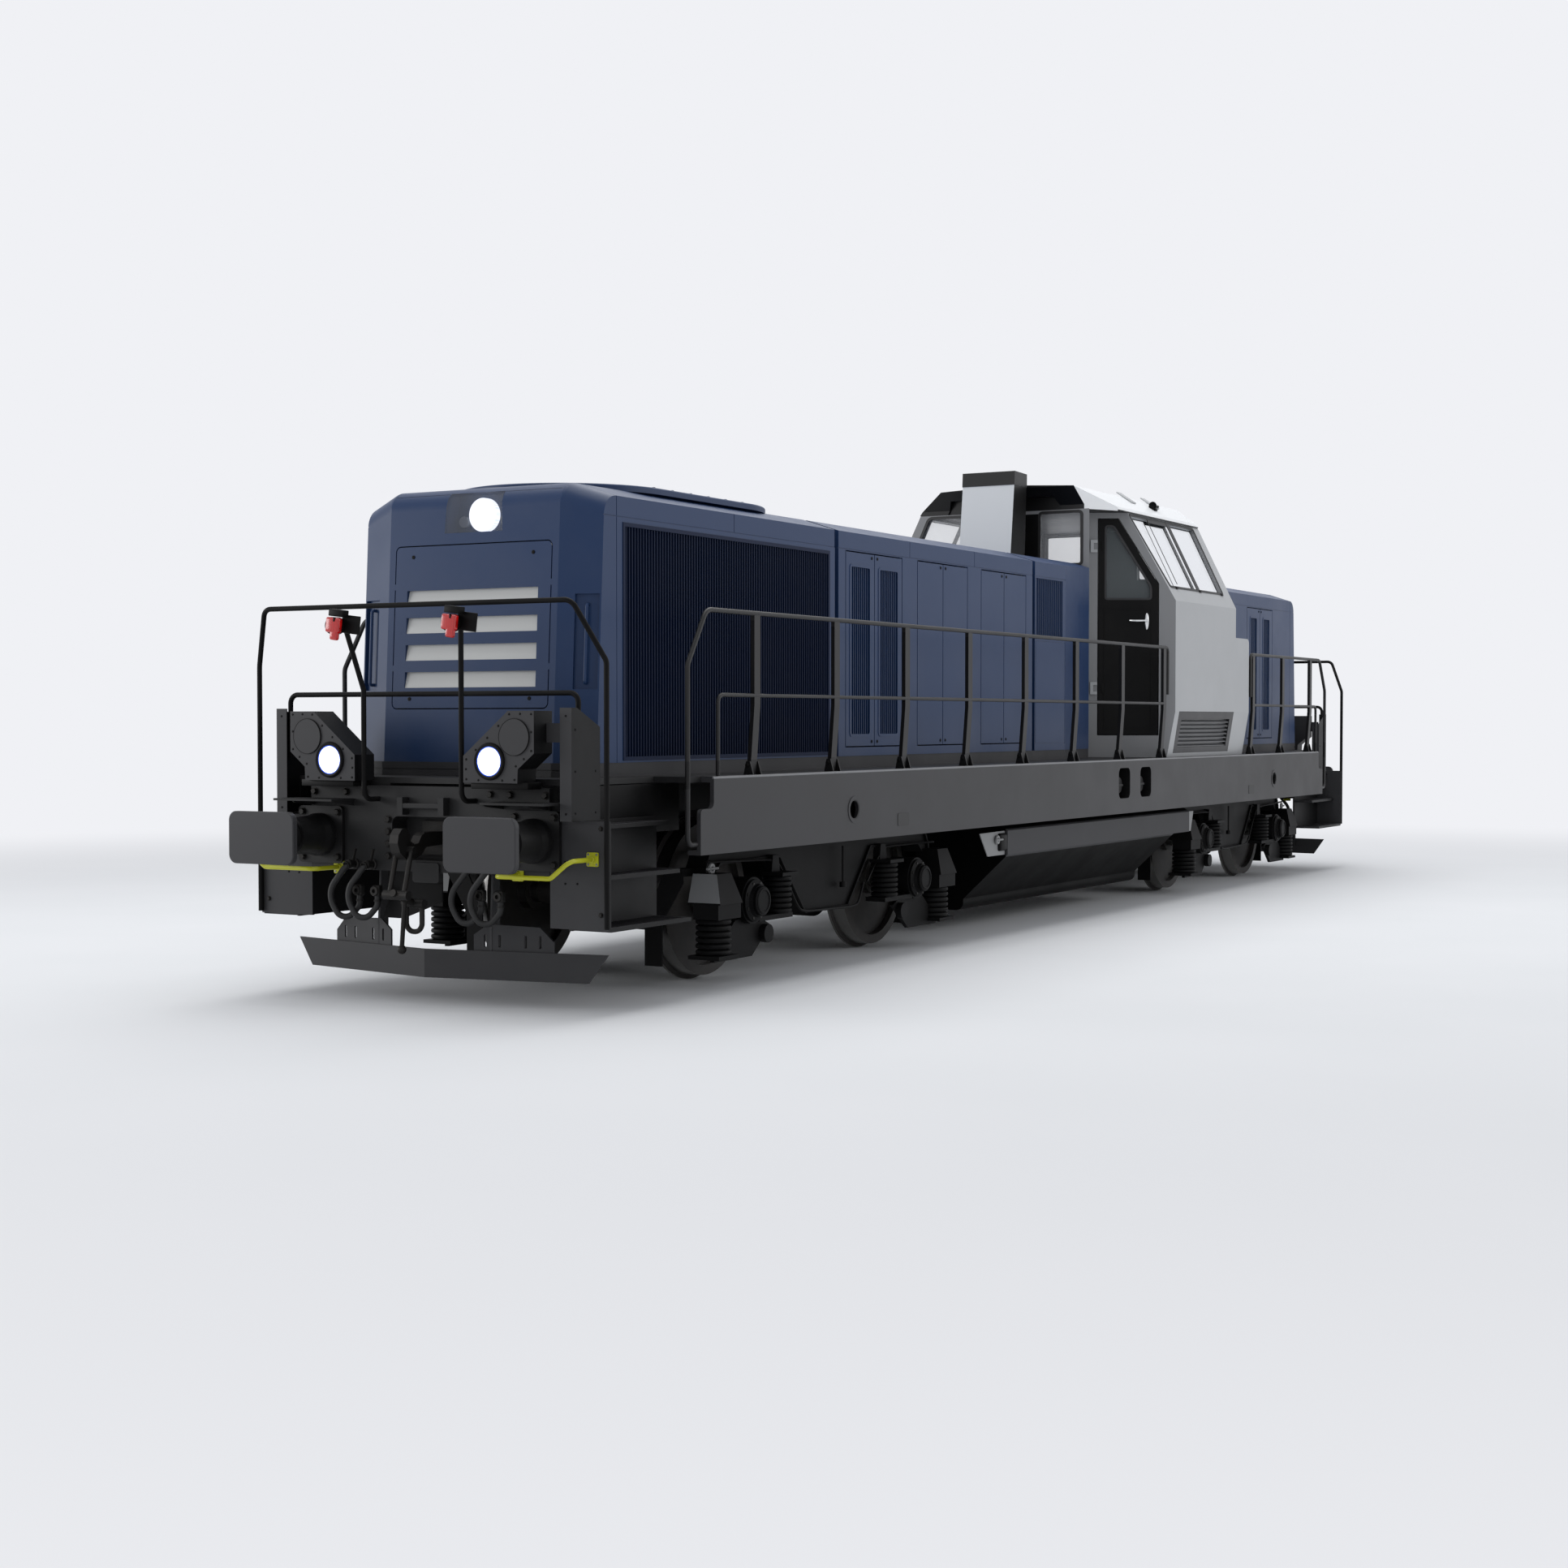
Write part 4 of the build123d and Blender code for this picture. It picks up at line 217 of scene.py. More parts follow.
HATCH_NAVY = sprayed_steel("navy_steel_with_pale_and_highlit_slots", "#1c3459", 0.4, 0.04, 0.04, [(PALE_LIT_SLOT_PLATES, "#c9cac8")])
ROOF_PALE = sprayed_steel("pale_steel_with_black_brow", "#e4e6e8", 0.42, 0.15, 0.02,
                          [(BROW_ENDS, "#0b0b0c"), (BROW_UNDERSIDE, "#0b0b0c"), (GUTTER, "#1a1b1c")])
TOWER_PALE = sprayed_steel("pale_steel_with_dark_sides", "#d0d3d6", 0.36, 0.1, 0.02,
                           [(TOWER_SIDES, "#131313"), (TOWER_BACK, "#131313"), (TOWER_CAP, "#1f1f1f")])
CAB_GREY = sprayed_steel("cab_steel_with_painted_shade", "#a9abad", 0.42, 0.1, 0.03,
                         [(SHADED_CAB_ENDS, "#838486"), (SHADED_CAB_INSIDE, "#2e2f31"), (SHADED_INSIDE_LEFT, "#2e2f31"),
                          (SHADED_INSIDE_RIGHT, "#2e2f31"), (LOUVRE_RIGHT, "#2c2c2e"), (LOUVRE_LEFT, "#2c2c2e"),
                          (SLATS_RIGHT, "#525355"), (SLATS_LEFT, "#525355")])
RAIL_BLACK = sprayed_steel("handrail_steel_with_black_feet", "#222223", 0.4, 0, 0.03,
                           [({"z": (1.4, 1.58)}, "#0d0d0e"),
                            ({"size facing y": (0.99, 1.01), "z": (1.4, 2.53)}, "#111112")])
# Painted highlight: the pale strip along the sill's rounded top outer edge stands for the gleam of light on it.
SILL_GREY = sprayed_steel("anthracite_sill_with_painted_edge_highlight", "#353537", 0.45, 0, 0.04,
                          [({"size x": (1.457, 1.4705), "z": (1.462, 1.48)}, "#7c7d7f"),
                           ({"size x": (1, 1.4655), "y": (0.36, 1.26), "z": (1.1, 1.41)}, "#0a0a0b"),
                           ({"size x": (1, 1.4655), "y": (-1.26, -0.36), "z": (1.1, 1.41)}, "#0a0a0b")])
BEAM_DARK = sprayed_steel("dark_beam_under_anthracite_plinth", "#1d1d1e", 0.5, 0, 0.03,
                          [({"z": (1.478, 1.575)}, "#323234")])
BUFFER_GREY = sprayed_steel("buffer_steel_with_lighter_faces", "#121213", 0.45, 0, 0.03,
                            [({"size y": (8.728, 8.78)}, "#3b3b3d")])
TANK_GREY = sprayed_steel("anthracite_strip_over_black_tank", "#49494b", 0.5, 0, 0.04,
                          [({"size x": (-1, 1.33), "z": (0, 1)}, "#060606")], 0.06)
# Painted shade: the faces that look across the track are painted near black for the shade on the sides; the front
# keeps its anthracite.
POST_GREY = sprayed_steel("anthracite_plate_with_shaded_sides", "#38383a", 0.48, 0, 0.04,
                          [({"size facing x": (0.5, 1.1)}, "#0d0d0e")], 0.2)
SPRING_HOUSING = {"size facing y": (0.7, 1.1), "size x": (1.03, 1.3), "z": (0.6, 0.8)}
BOGIE_BLACK = sprayed_steel("black_steel_with_pale_end_faces", "#0e0e0f", 0.5, 0, 0.02, [
    ({**SPRING_HOUSING, "y": (spot(0, 2100, 0).y, spot(0, 2215, 0).y)}, "#8b8c8d"),
    ({**SPRING_HOUSING, "y": (spot(0, 15425, 0).y, spot(0, 15540, 0).y)}, "#8b8c8d")], 0.08)
print("painted finishes with two colours:", len(bpy.data.materials))

# %% [markdown]
# ## Bare and rubbed metal
# A wheel's tread is polished by the rail, its web is rusty brown under oil, and forged coupling parts are
# dark scale. Metal reflects instead of scattering, so its metallic value is 1 and its colour is the tint of
# its gloss. Turning leaves rings, drawn at 4 mm so that they show.

# %% Metals
def bare_metal(name, colour, roughness, grain_mm=4, metallic=1.0):
    """Metal whose gloss is broken up by its working marks."""
    material, tree, shader = start_material(name)
    coordinates = add_node(tree, "TexCoord").outputs["Object"]
    marks = add_node(tree, "TexNoise", {"Scale": 1000 / grain_mm, "Detail": 3}, {"Vector": coordinates})
    stains = add_node(tree, "TexNoise", {"Scale": 9, "Detail": 4}, {"Vector": coordinates})
    dark = add_node(tree, "Mix", {"data_type": "RGBA", 6: linear(colour), 7: linear("#2a2623")})
    share = add_node(tree, "MapRange", {"From Min": 0.5, "From Max": 0.8, "To Max": 0.55},
                     {"Value": stains.outputs["Fac"]})
    tree.links.new(share.outputs[0], dark.inputs[0])
    gloss = add_node(tree, "MapRange", {"From Min": 0.3, "From Max": 0.7, "To Min": max(0.04, roughness - 0.08),
                                        "To Max": roughness + 0.1}, {"Value": marks.outputs["Fac"]})
    bump = add_node(tree, "Bump", {"Strength": 0.1, "Distance": 0.0003}, {"Height": marks.outputs["Fac"]})
    tree.links.new(dark.outputs[2], shader.inputs["Base Color"])
    tree.links.new(gloss.outputs[0], shader.inputs["Roughness"])
    tree.links.new(bump.outputs[0], shader.inputs["Normal"])
    shader.inputs["Metallic"].default_value = metallic
    return material


FORGED = bare_metal("forged_dark_steel", "#2b2a29", 0.5, 5, 0.8)
ZINC = bare_metal("zinc_plated_steel", "#8d8f90", 0.38, 3)
POLISHED = bare_metal("polished_stainless_steel", "#d6d8d9", 0.16, 2)

# %% [markdown]
# The wheels need both looks in one material. The tread and the flange are the faces that look away from the
# axle, so their normal has no share along X, and there the steel is bright.

# %% Wheel steel
WHEEL, tree, shader = start_material("rolled_wheel_steel")
tread = where(tree, {"size facing x": (-1, 0.4), "size x": (0.6, 0.9)})
coordinates = add_node(tree, "TexCoord").outputs["Object"]
rust = add_node(tree, "TexNoise", {"Scale": 14, "Detail": 5}, {"Vector": coordinates})
web = add_node(tree, "Mix", {"data_type": "RGBA", 6: linear("#1b1a1a"), 7: linear("#34302c")},
               {0: rust.outputs["Fac"]})
colour = add_node(tree, "Mix", {"data_type": "RGBA", 7: linear("#8b8a88")}, {0: tread, 6: web.outputs[2]})
gloss = add_node(tree, "Mix", {2: 0.62, 3: 0.28}, {0: tread})
tree.links.new(colour.outputs[2], shader.inputs["Base Color"])
tree.links.new(gloss.outputs[0], shader.inputs["Roughness"])
tree.links.new(tread, shader.inputs["Metallic"])

# %% [markdown]
# ## Rubber, moulded plastic and cloth
# Hoses and window seals are black rubber, which is matt because its surface is full of fine pits. The seats
# are covered in woven cloth with threads 1.2 mm apart, drawn at 4 mm. All three share one recipe: a small
# grain that roughens the surface and mottles its colour a little.

# %% Soft finishes
def grained(name, colour, roughness, grain_mm, strength, sheen=0.0):
    """A matt material with a fine grain."""
    material, tree, shader = start_material(name)
    coordinates = add_node(tree, "TexCoord").outputs["Object"]
    grain = add_node(tree, "TexNoise", {"Scale": 1000 / grain_mm, "Detail": 2}, {"Vector": coordinates})
    dark, light = (tuple(c * share for c in linear(colour)[:3]) + (1,) for share in (0.75, 1.25))
    mottle = add_node(tree, "Mix", {"data_type": "RGBA", 6: dark, 7: light}, {0: grain.outputs["Fac"]})
    bump = add_node(tree, "Bump", {"Strength": strength, "Distance": 0.001}, {"Height": grain.outputs["Fac"]})
    tree.links.new(mottle.outputs[2], shader.inputs["Base Color"])
    tree.links.new(bump.outputs[0], shader.inputs["Normal"])
    shader.inputs["Roughness"].default_value = roughness
    shader.inputs["Sheen Weight"].default_value = sheen
    return material


RUBBER = grained("black_moulded_rubber", "#121213", 0.6, 6, 0.15)
SEAL = grained("window_seal_rubber", "#08080a", 0.5, 5, 0.05)
PLASTIC = grained("black_moulded_plastic", "#17181a", 0.45, 4, 0.08)
SEAT_CLOTH = grained("woven_seat_cloth", "#23262b", 0.92, 4, 0.5, 0.3)
MESH_BLACK = grained("black_woven_wire", "#070809", 0.7, 12, 0.6)

# %% [markdown]
# ## Glass and lamps
# The cab's panes are laminated glass, a little grey-green, and a lens is clear. Both let the light through by
# a low alpha, and keep the gloss of glass at an IOR of 1.45. The leaning side panes also have a sun-reflecting
# coat of metal oxide, so they mirror the bright room like polished metal. The same CAD node holds the lit lenses, the
# clear pane over the headlight and the lamps behind it, so masks tell them apart by height and depth.

# %% Glass and lamps
def sheet_glass(name, colour, alpha):
    """Thin clear glass with a trace of dust in its gloss."""
    material, tree, shader = start_material(name)
    coordinates = add_node(tree, "TexCoord").outputs["Object"]
    smears = add_node(tree, "TexNoise", {"Scale": 3, "Detail": 4}, {"Vector": coordinates})
    gloss = add_node(tree, "MapRange", {"From Min": 0.3, "From Max": 0.8, "To Min": 0.02, "To Max": 0.07},
                     {"Value": smears.outputs["Fac"]})
    tree.links.new(gloss.outputs[0], shader.inputs["Roughness"])
    shader.inputs["Base Color"].default_value = linear(colour)
    shader.inputs["Alpha"].default_value = alpha
    shader.inputs["IOR"].default_value = 1.45
    return material


WINDOW = sheet_glass("laminated_window_glass", "#8f999d", 0.14)
SUN_GLASS = sheet_glass("sun_reflecting_glass", "#f4f6f8", 0.14)
tree = SUN_GLASS.node_tree
right_outside = where(tree, {"x": (0, 2), "facing x": (0.6, 1.1)})
left_outside = where(tree, {"x": (-2, 0), "facing x": (-1.1, -0.6)})
coated = add_node(tree, "Math", {"operation": "MAXIMUM"}, {0: right_outside, 1: left_outside}).outputs[0]
cover = add_node(tree, "Mix", {2: 0.14, 3: 0.88}, {0: coated})
tree.links.new(cover.outputs[0], tree.nodes["Principled BSDF"].inputs["Alpha"])
tree.links.new(coated, tree.nodes["Principled BSDF"].inputs["Metallic"])

LAMPS, tree, shader = start_material("lamp_glass_and_reflectors")
pane = where(tree, {"z": (2.8, 4), "size y": (7.572, 9)})
lit = where(tree, {"z": (0, 2.8)})
side_lamp = where(tree, {"z": (2.8, 4), "size x": (0.125, 0.22), "size y": (7.3, 7.5715)})
ribs = add_node(tree, "TexWave", {"Scale": 30, "Distortion": 0.2},
                {"Vector": add_node(tree, "TexCoord").outputs["Object"]})
glow = add_node(tree, "Mix", {"data_type": "RGBA", 6: linear("#dfe9ff"), 7: linear("#ffffff")},
                {0: ribs.outputs["Fac"]})
bright = add_node(tree, "Mix", {2: 1.6, 3: 2.2}, {0: lit})
unlit = add_node(tree, "Math", {"operation": "MAXIMUM"}, {0: pane, 1: side_lamp})
dim = add_node(tree, "Mix", {3: 0.0}, {0: unlit.outputs[0], 2: bright.outputs[0]})
tint = add_node(tree, "Mix", {"data_type": "RGBA", 7: linear("#7d828c")}, {0: unlit.outputs[0], 6: glow.outputs[2]})
clear = add_node(tree, "Mix", {2: 1.0, 3: 0.22}, {0: pane})
tree.links.new(tint.outputs[2], shader.inputs["Base Color"])
tree.links.new(glow.outputs[2], shader.inputs["Emission Color"])
tree.links.new(dim.outputs[0], shader.inputs["Emission Strength"])
tree.links.new(clear.outputs[0], shader.inputs["Alpha"])
shader.inputs["Roughness"].default_value = 0.08
shader.inputs["IOR"].default_value = 1.45

# %% [markdown]
# The tail lamps are red polycarbonate with moulded prisms 6 mm wide, drawn at 10 mm, and they glow a little.

# %% Red lens
RED_LENS, tree, shader = start_material("red_polycarbonate")
prisms = add_node(tree, "TexWave", {"Scale": 100 / 3.14, "Distortion": 0},
                  {"Vector": add_node(tree, "TexCoord").outputs["Object"]})
red = add_node(tree, "Mix", {"data_type": "RGBA", 6: linear("#9c0a0a"), 7: linear("#c01513")},
               {0: prisms.outputs["Fac"]})
tree.links.new(red.outputs[2], shader.inputs["Base Color"])
tree.links.new(red.outputs[2], shader.inputs["Emission Color"])
shader.inputs["Emission Strength"].default_value = 0.12
shader.inputs["Roughness"].default_value = 0.18
shader.inputs["Coat Weight"].default_value = 0.5

# %% [markdown]
# ## Painting the CAD nodes
# A CAD node keeps its shape and only gets a new material in its slot. Most names tell their colour, so a
# short table names the others and the hoods' navy is what is left.

# %% Paint the nodes
NODE_FINISH = {
    "underframe": BEAM_DARK, "side_sills": SILL_GREY, "buffers": BUFFER_GREY, "couplings": FORGED,
    "snow_ploughs": FRAME_GREY, "end_steps": POST_GREY, "lamp_housings": POST_GREY, "fuel_tank": TANK_GREY,
    "end_handrails": DARK_GREY, "side_handrails": RAIL_BLACK, "brake_hoses": RUBBER, "lamp_glasses": LAMPS,
    "marker_lamps": SATIN_BLACK, "shunter_handles": YELLOW_GREEN, "exhaust_tower": TOWER_PALE,
    "cab_walls": CAB_GREY, "cab_roof": ROOF_PALE, "cab_glass": SUN_GLASS, "cab_interior": MACHINE_GREY,
    "cab_side_boxes": PALE_GREY, "cab_door_near": SATIN_BLACK, "cab_door_far": SATIN_BLACK,
    "cab_door_glass_near": WINDOW, "cab_door_glass_far": WINDOW, "engine_block": MACHINE_GREY,
    "roof_fan_near": MACHINE_GREY, "roof_fan_far": MACHINE_GREY, "end_hatches": HATCH_NAVY,
    "hood_grilles": FIN_NAVY}
STARTS = {"bogie": BOGIE_BLACK, "suspension": DARK_GREY, "traction": DARK_GREY, "wheelset": WHEEL}
for name, node in NODES.items():
    start = name.split("_")[0]
    node.data.materials.clear()
    node.data.materials.append(NODE_FINISH.get(name, STARTS.get(start, HOOD_NAVY)))
print("navy nodes:", sum(node.data.materials[0] == HOOD_NAVY for node in NODES.values()))

# %% [markdown]
# ## Shaping pieces
# Most small parts of a locomotive are turned, cut from plate or bent from bar, and bmesh has an operator for
# each. A turned part is a line of points spun round an axis. A plate is one face with rounded corners that
# gets its thickness. A block has its edges rolled off, because no real edge is sharp. Each helper gives a
# mesh, in metres, that stands on its local XY plane, so that it can be set down many times.

# %% Helpers for shapes
def as_mesh(bm):
    """Closes a bmesh form: doubles merged and all faces turned outwards."""
    bmesh.ops.remove_doubles(bm, verts=bm.verts, dist=0.00002)
    bmesh.ops.recalc_face_normals(bm, faces=bm.faces)
    mesh = bpy.data.meshes.new("shape")
    bm.to_mesh(mesh)
    bm.free()
    return mesh


def turned_shape(profile, steps=16):
    """A line of (radius, height) points in mm, spun round the local Z axis."""
    bm = bmesh.new()
    line = [bm.verts.new((radius / 1000, 0, height / 1000)) for radius, height in profile]
    edges = [bm.edges.new(pair) for pair in zip(line, line[1:])]
    bmesh.ops.spin(bm, geom=line + edges, cent=(0, 0, 0), axis=(0, 0, 1), angle=2 * pi, steps=steps,
                   use_merge=True)
    return as_mesh(bm)


def block_shape(size, edge, segments=2):
    """A block of a size in mm with rolled edges, standing on the local XY plane."""
    bm = bmesh.new()
    bmesh.ops.create_cube(bm, size=1)
    bmesh.ops.scale(bm, vec=[length / 1000 for length in size], verts=bm.verts)
    bmesh.ops.translate(bm, vec=(0, 0, size[2] / 2000), verts=bm.verts)
    bmesh.ops.bevel(bm, geom=bm.edges, offset=edge / 1000, affect="EDGES", segments=segments, profile=0.5,
                    material=-1)
    return as_mesh(bm)


def plate_shape(outline, thick, corner=0, hole=0):
    """A plate of an outline in mm with rounded corners; hole leaves only a rim of that width."""
    bm = bmesh.new()
    face = bm.faces.new([bm.verts.new((x / 1000, y / 1000, 0)) for x, y in outline])
    if corner:
        bmesh.ops.bevel(bm, geom=bm.verts, offset=corner / 1000, affect="VERTICES", segments=3, profile=0.5,
                        material=-1)
    if hole:
        face = max(bm.faces, key=lambda one: one.calc_area())
        bmesh.ops.inset_region(bm, faces=[face], thickness=hole / 1000, use_even_offset=True,
                               use_boundary=True)
        bmesh.ops.delete(bm, geom=[face], context="FACES_ONLY")
    bmesh.ops.recalc_face_normals(bm, faces=bm.faces)
    bmesh.ops.solidify(bm, geom=bm.faces, thickness=thick / 1000)
    lowest = min(vert.co.z for vert in bm.verts)
    bmesh.ops.translate(bm, vec=(0, 0, -lowest), verts=bm.verts)
    return as_mesh(bm)


def bar_shape(points, radius, smooth=True):
    """A round bar or pipe along points in metres, with closed ends."""
    curve = bpy.data.curves.new("bar", "CURVE")
    curve.dimensions = "3D"
    curve.bevel_depth, curve.bevel_resolution = radius / 1000, 2
    curve.use_fill_caps, curve.resolution_u = True, 6
    spline = curve.splines.new("NURBS" if smooth else "POLY")
    spline.points.add(len(points) - 1)
    for point, place in zip(spline.points, points):
        point.co = (*place, 1)
    if smooth:
        spline.order_u, spline.use_endpoint_u = 3, True
    holder = bpy.data.objects.new("bar", curve)
    mesh = bpy.data.meshes.new_from_object(holder)
    bpy.data.objects.remove(holder)
    return mesh


# %% [markdown]
# A shape is set down with a matrix that says where it stands and which way its local Z looks. The left side
# is the right side in a mirror, and the far end is the near end turned half round. All the bolts of one kind
# become one piece, which rides on the body that carries them.

# %% Helpers for places of shapes
FRONT, RIGHT, UP = (0, -1, 0), (1, 0, 0), (0, 0, 1)
LEFT_SIDE = Matrix.Scale(-1, 4, RIGHT)
FAR_END = Matrix.Rotation(pi, 4, "Z")
CAB_TURN = Matrix.Translation(spot(0, CAB_MIDDLE, 0)) @ FAR_END @ Matrix.Translation(-spot(0, CAB_MIDDLE, 0))
IN_FRONT = Matrix.Rotation(pi / 2, 4, "X")       # local x to the right, local y up, local z to the front
ALONG = Matrix(((0, 0, 1, 0), (1, 0, 0, 0), (0, 1, 0, 0), (0, 0, 0, 1)))    # local x along Y, local y up


def at(place, looks=UP, roll=0):
    """A matrix that stands a shape at a place, looking one way and rolled in degrees."""
    turn = Vector(looks).to_track_quat("Z", "Y").to_matrix().to_4x4()
    return Matrix.Translation(place) @ turn @ Matrix.Rotation(radians(roll), 4, "Z")


def moved(turn, placed):
    """The placed shapes turned or mirrored."""
    return [(shape, turn @ matrix) for shape, matrix in placed]


def also(turn, placed):
    """The placed shapes and the same ones turned or mirrored."""
    return placed + moved(turn, placed)


def all_corners(placed):
    """The placed shapes on both sides of both ends."""
    return also(FAR_END, also(LEFT_SIDE, placed))


def piece(name, placed, material, body="locomotive", sharp=35):
    """One finished piece from placed shapes, smooth where its faces meet softly."""
    bm = bmesh.new()
    for shape, matrix in placed:
        copy = shape.copy()
        copy.transform(matrix)
        if matrix.determinant() < 0:
            copy.flip_normals()
        bm.from_mesh(copy)
        bpy.data.meshes.remove(copy)
    mesh = bpy.data.meshes.new(name)
    bm.to_mesh(mesh)
    bm.free()
    mesh.shade_smooth()
    mesh.set_sharp_from_angle(angle=radians(sharp))
    mesh.materials.append(material)
    made = bpy.data.objects.new(name, mesh)
    bpy.context.scene.collection.objects.link(made)
    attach(made, body)
    print(f"{name}: {len(placed)} shapes, {len(mesh.polygons)} faces")
    return made


# %% [markdown]
# ## Bolts and screws
# Plates are held by hexagon bolts 24 mm across the flats, each on a washer, and covers by flat round screws.
# Six steps of a spin make the hexagon. A bolt's top edge is chamfered by its profile.

# %% Bolt and screw
WASHER = turned_shape([(0, 0), (17, 0), (17, 2.5), (0, 2.5)], 12)
HEXAGON = turned_shape([(0, 2.5), (13.9, 2.5), (13.9, 11), (11.5, 13), (0, 13)], 6)
SCREW = turned_shape([(0, 0), (8, 0), (7, 2.5), (3, 3.5), (0, 3.5)], 10)
LARGE = Matrix.Scale(1.6, 4)


def bolts(places, looks, size=Matrix()):
    """Bolts and their washers at places given as (x, y, z) in the drawing's millimetres."""
    return [(shape, at(spot(*place), looks, 17 * number) @ size)
            for number, place in enumerate(places) for shape in (WASHER, HEXAGON)]


def screws(places, looks):
    return [(SCREW, at(spot(*place), looks)) for place in places]


print("faces of a bolt:", len(HEXAGON.polygons) + len(WASHER.polygons))

# %% [markdown]
# ## The end of the frame
# The buffer beam takes every pull and push, so it is full of large bolts: four at each buffer, a row along
# its top, and more round the pocket of the draw hook. The corner plates and posts beside it are bolted on. A
# black bracket carries each lamp housing, and a black plate closes the space over the
# steps. A gusset under the middle of the beam takes the pull of the draw hook.

# %% Bolts of the ends
BUFFER_FLANGE, BEAM_FACE, CORNER_FACE = 574, 600, 605    # how far these lie behind the buffer faces
beam = [(x + dx, BUFFER_FLANGE, z) for x in (-875, 875) for dx in (-150, 150) for z in (910, 1210)]
beam += [(side * x, BEAM_FACE, 1346) for side in (-1, 1) for x in (517, 671, 943)]
beam += [(side * 315, BEAM_FACE, z) for side in (-1, 1) for z in (930, 1010, 1090, 1170)]
corners = [(side * 1358, CORNER_FACE, z) for side in (-1, 1) for z in (610, 1147)]
ends = bolts(beam, FRONT, LARGE) + bolts(corners, FRONT)
piece("beam_bolts", also(FAR_END, ends), FORGED)

small = [(side * 1158, 517, z) for side in (-1, 1) for z in (1236, 1845)]
small += [(x, BEAM_FACE, z) for x in (-182, -150, 142, 174) for z in (1217, 1307)]
small += [(side * x, CORNER_FACE, z) for side in (-1, 1) for x, z in ((1090, 797), (1181, 799), (1090, 932))]
post_sides = screws([(1201, 560, z) for z in (1240, 1500, 1760)] + [(1201, 780, z) for z in (1240, 1500)], RIGHT)
piece("end_screws", also(FAR_END, screws(small, FRONT) + also(LEFT_SIDE, post_sides)), DARK_GREY)

BRACKET = block_shape((440, 150, 44), 4)
CLOSING = block_shape((8, 1260, 320), 2)
GUSSET = plate_shape([(-350, 885), (90, 885), (90, 640), (-232, 520), (-400, 520), (-350, 640)], 14, 10)
filled = [(BRACKET, Matrix.Translation(spot(700, 520, 1386))), (CLOSING, Matrix.Translation(spot(1109, 1270, 1080)))]
filled = also(LEFT_SIDE, filled) + [(GUSSET, Matrix.Translation(spot(0, 656, 0)) @ IN_FRONT)]
piece("end_fillers", also(FAR_END, filled), SATIN_BLACK)

# %% [markdown]
# ## Lamp housings
# Each housing is a box of bent sheet whose front is screwed on all round. The lit lamp sits in a black bezel
# with a thin blue ring of stray light at the lens's edge, and the place of a second lamp has a blank cover.

# %% Lamp housings
rim_places = [(465, 1447), (560, 1442), (745, 1442), (840, 1447), (850, 1532), (912, 1577), (968, 1628),
              (968, 1745), (968, 1856), (884, 1858), (800, 1856), (716, 1783), (630, 1708), (540, 1632),
              (465, 1572), (462, 1510)]
LAMP_FACE = 415
LAMP, BLANK = spot(649, LAMP_FACE, 1560), spot(840, LAMP_FACE, 1713)
rim_screws = screws([(side * x, LAMP_FACE, z) for side in (-1, 1) for x, z in rim_places], FRONT)
piece("lamp_housing_screws", also(FAR_END, rim_screws), SATIN_BLACK)

BEZEL = turned_shape([(93, 0), (93, 8), (97, 15), (106, 17), (115, 12), (119, 0), (93, 0)], 48)
COVER_JOINT = turned_shape([(113.5, 0), (113.5, 8.8), (116.5, 8.8), (116.5, 0), (113.5, 0)], 48)
lamp = [(BEZEL, at(LAMP, FRONT)), (COVER_JOINT, at(BLANK, FRONT))]
piece("lamp_bezels", all_corners(lamp), SATIN_BLACK)

BLUE_LIGHT, tree, shader = start_material("blue_stray_light")
shader.inputs["Base Color"].default_value = linear("#1e46b4")
shader.inputs["Emission Color"].default_value = linear("#2a58d8")
shader.inputs["Emission Strength"].default_value = 0.9
fade = add_node(tree, "TexNoise", {"Scale": 30}, {"Vector": add_node(tree, "TexCoord").outputs["Object"]})
tree.links.new(fade.outputs["Fac"], shader.inputs["Roughness"])
EDGE_LIGHT = turned_shape([(88.5, 0), (88.5, 9), (93.5, 9), (93.5, 0), (88.5, 0)], 48)
piece("lamp_edge_lights", all_corners([(EDGE_LIGHT, at(LAMP, FRONT))]),
      BLUE_LIGHT)

# %% [markdown]
# ## Tail lamps
# A portable red lamp hangs under the top handrail at each side. Its holder is a black box with a large plate
# beside it, and the red lens is a rounded box with a narrower tongue below, all tilted by a few degrees.

# %% Tail lamps
LENS = block_shape((112, 44, 98), 14, 4)
TONGUE = block_shape((66, 34, 92), 15, 4)
HOLDER = block_shape((118, 62, 46), 5)
SIDE_PLATE = block_shape((150, 10, 118), 4)
LATCH = block_shape((14, 10, 26), 3)
tilt = Matrix.Rotation(radians(7), 4, "Y")
lenses, holders = [], []
for x in (-452, 482):
    lamp = Matrix.Translation(spot(x, 225, 2380)) @ tilt
    lenses += [(LENS, lamp), (TONGUE, Matrix.Translation(spot(x + 8, 224, 2332)) @ tilt)]
    holders += [(HOLDER, Matrix.Translation(spot(x + 12, 262, 2484)) @ tilt),
                (SIDE_PLATE, Matrix.Translation(spot(x + 84, 292, 2374)) @ tilt),
                (LATCH, Matrix.Translation(spot(x + 26, 204, 2450)) @ tilt)]
piece("tail_lamp_lenses", also(FAR_END, lenses), RED_LENS)
piece("tail_lamp_holders", also(FAR_END, holders), SATIN_BLACK)

# %% [markdown]
# ## Brake hoses
# Each air hose starts at a cock on the beam and ends in a claw coupling that hangs in its holder. The rubber
# is a CAD node, so only its metal is added: the cock with its lever, the clamps, and the claw.

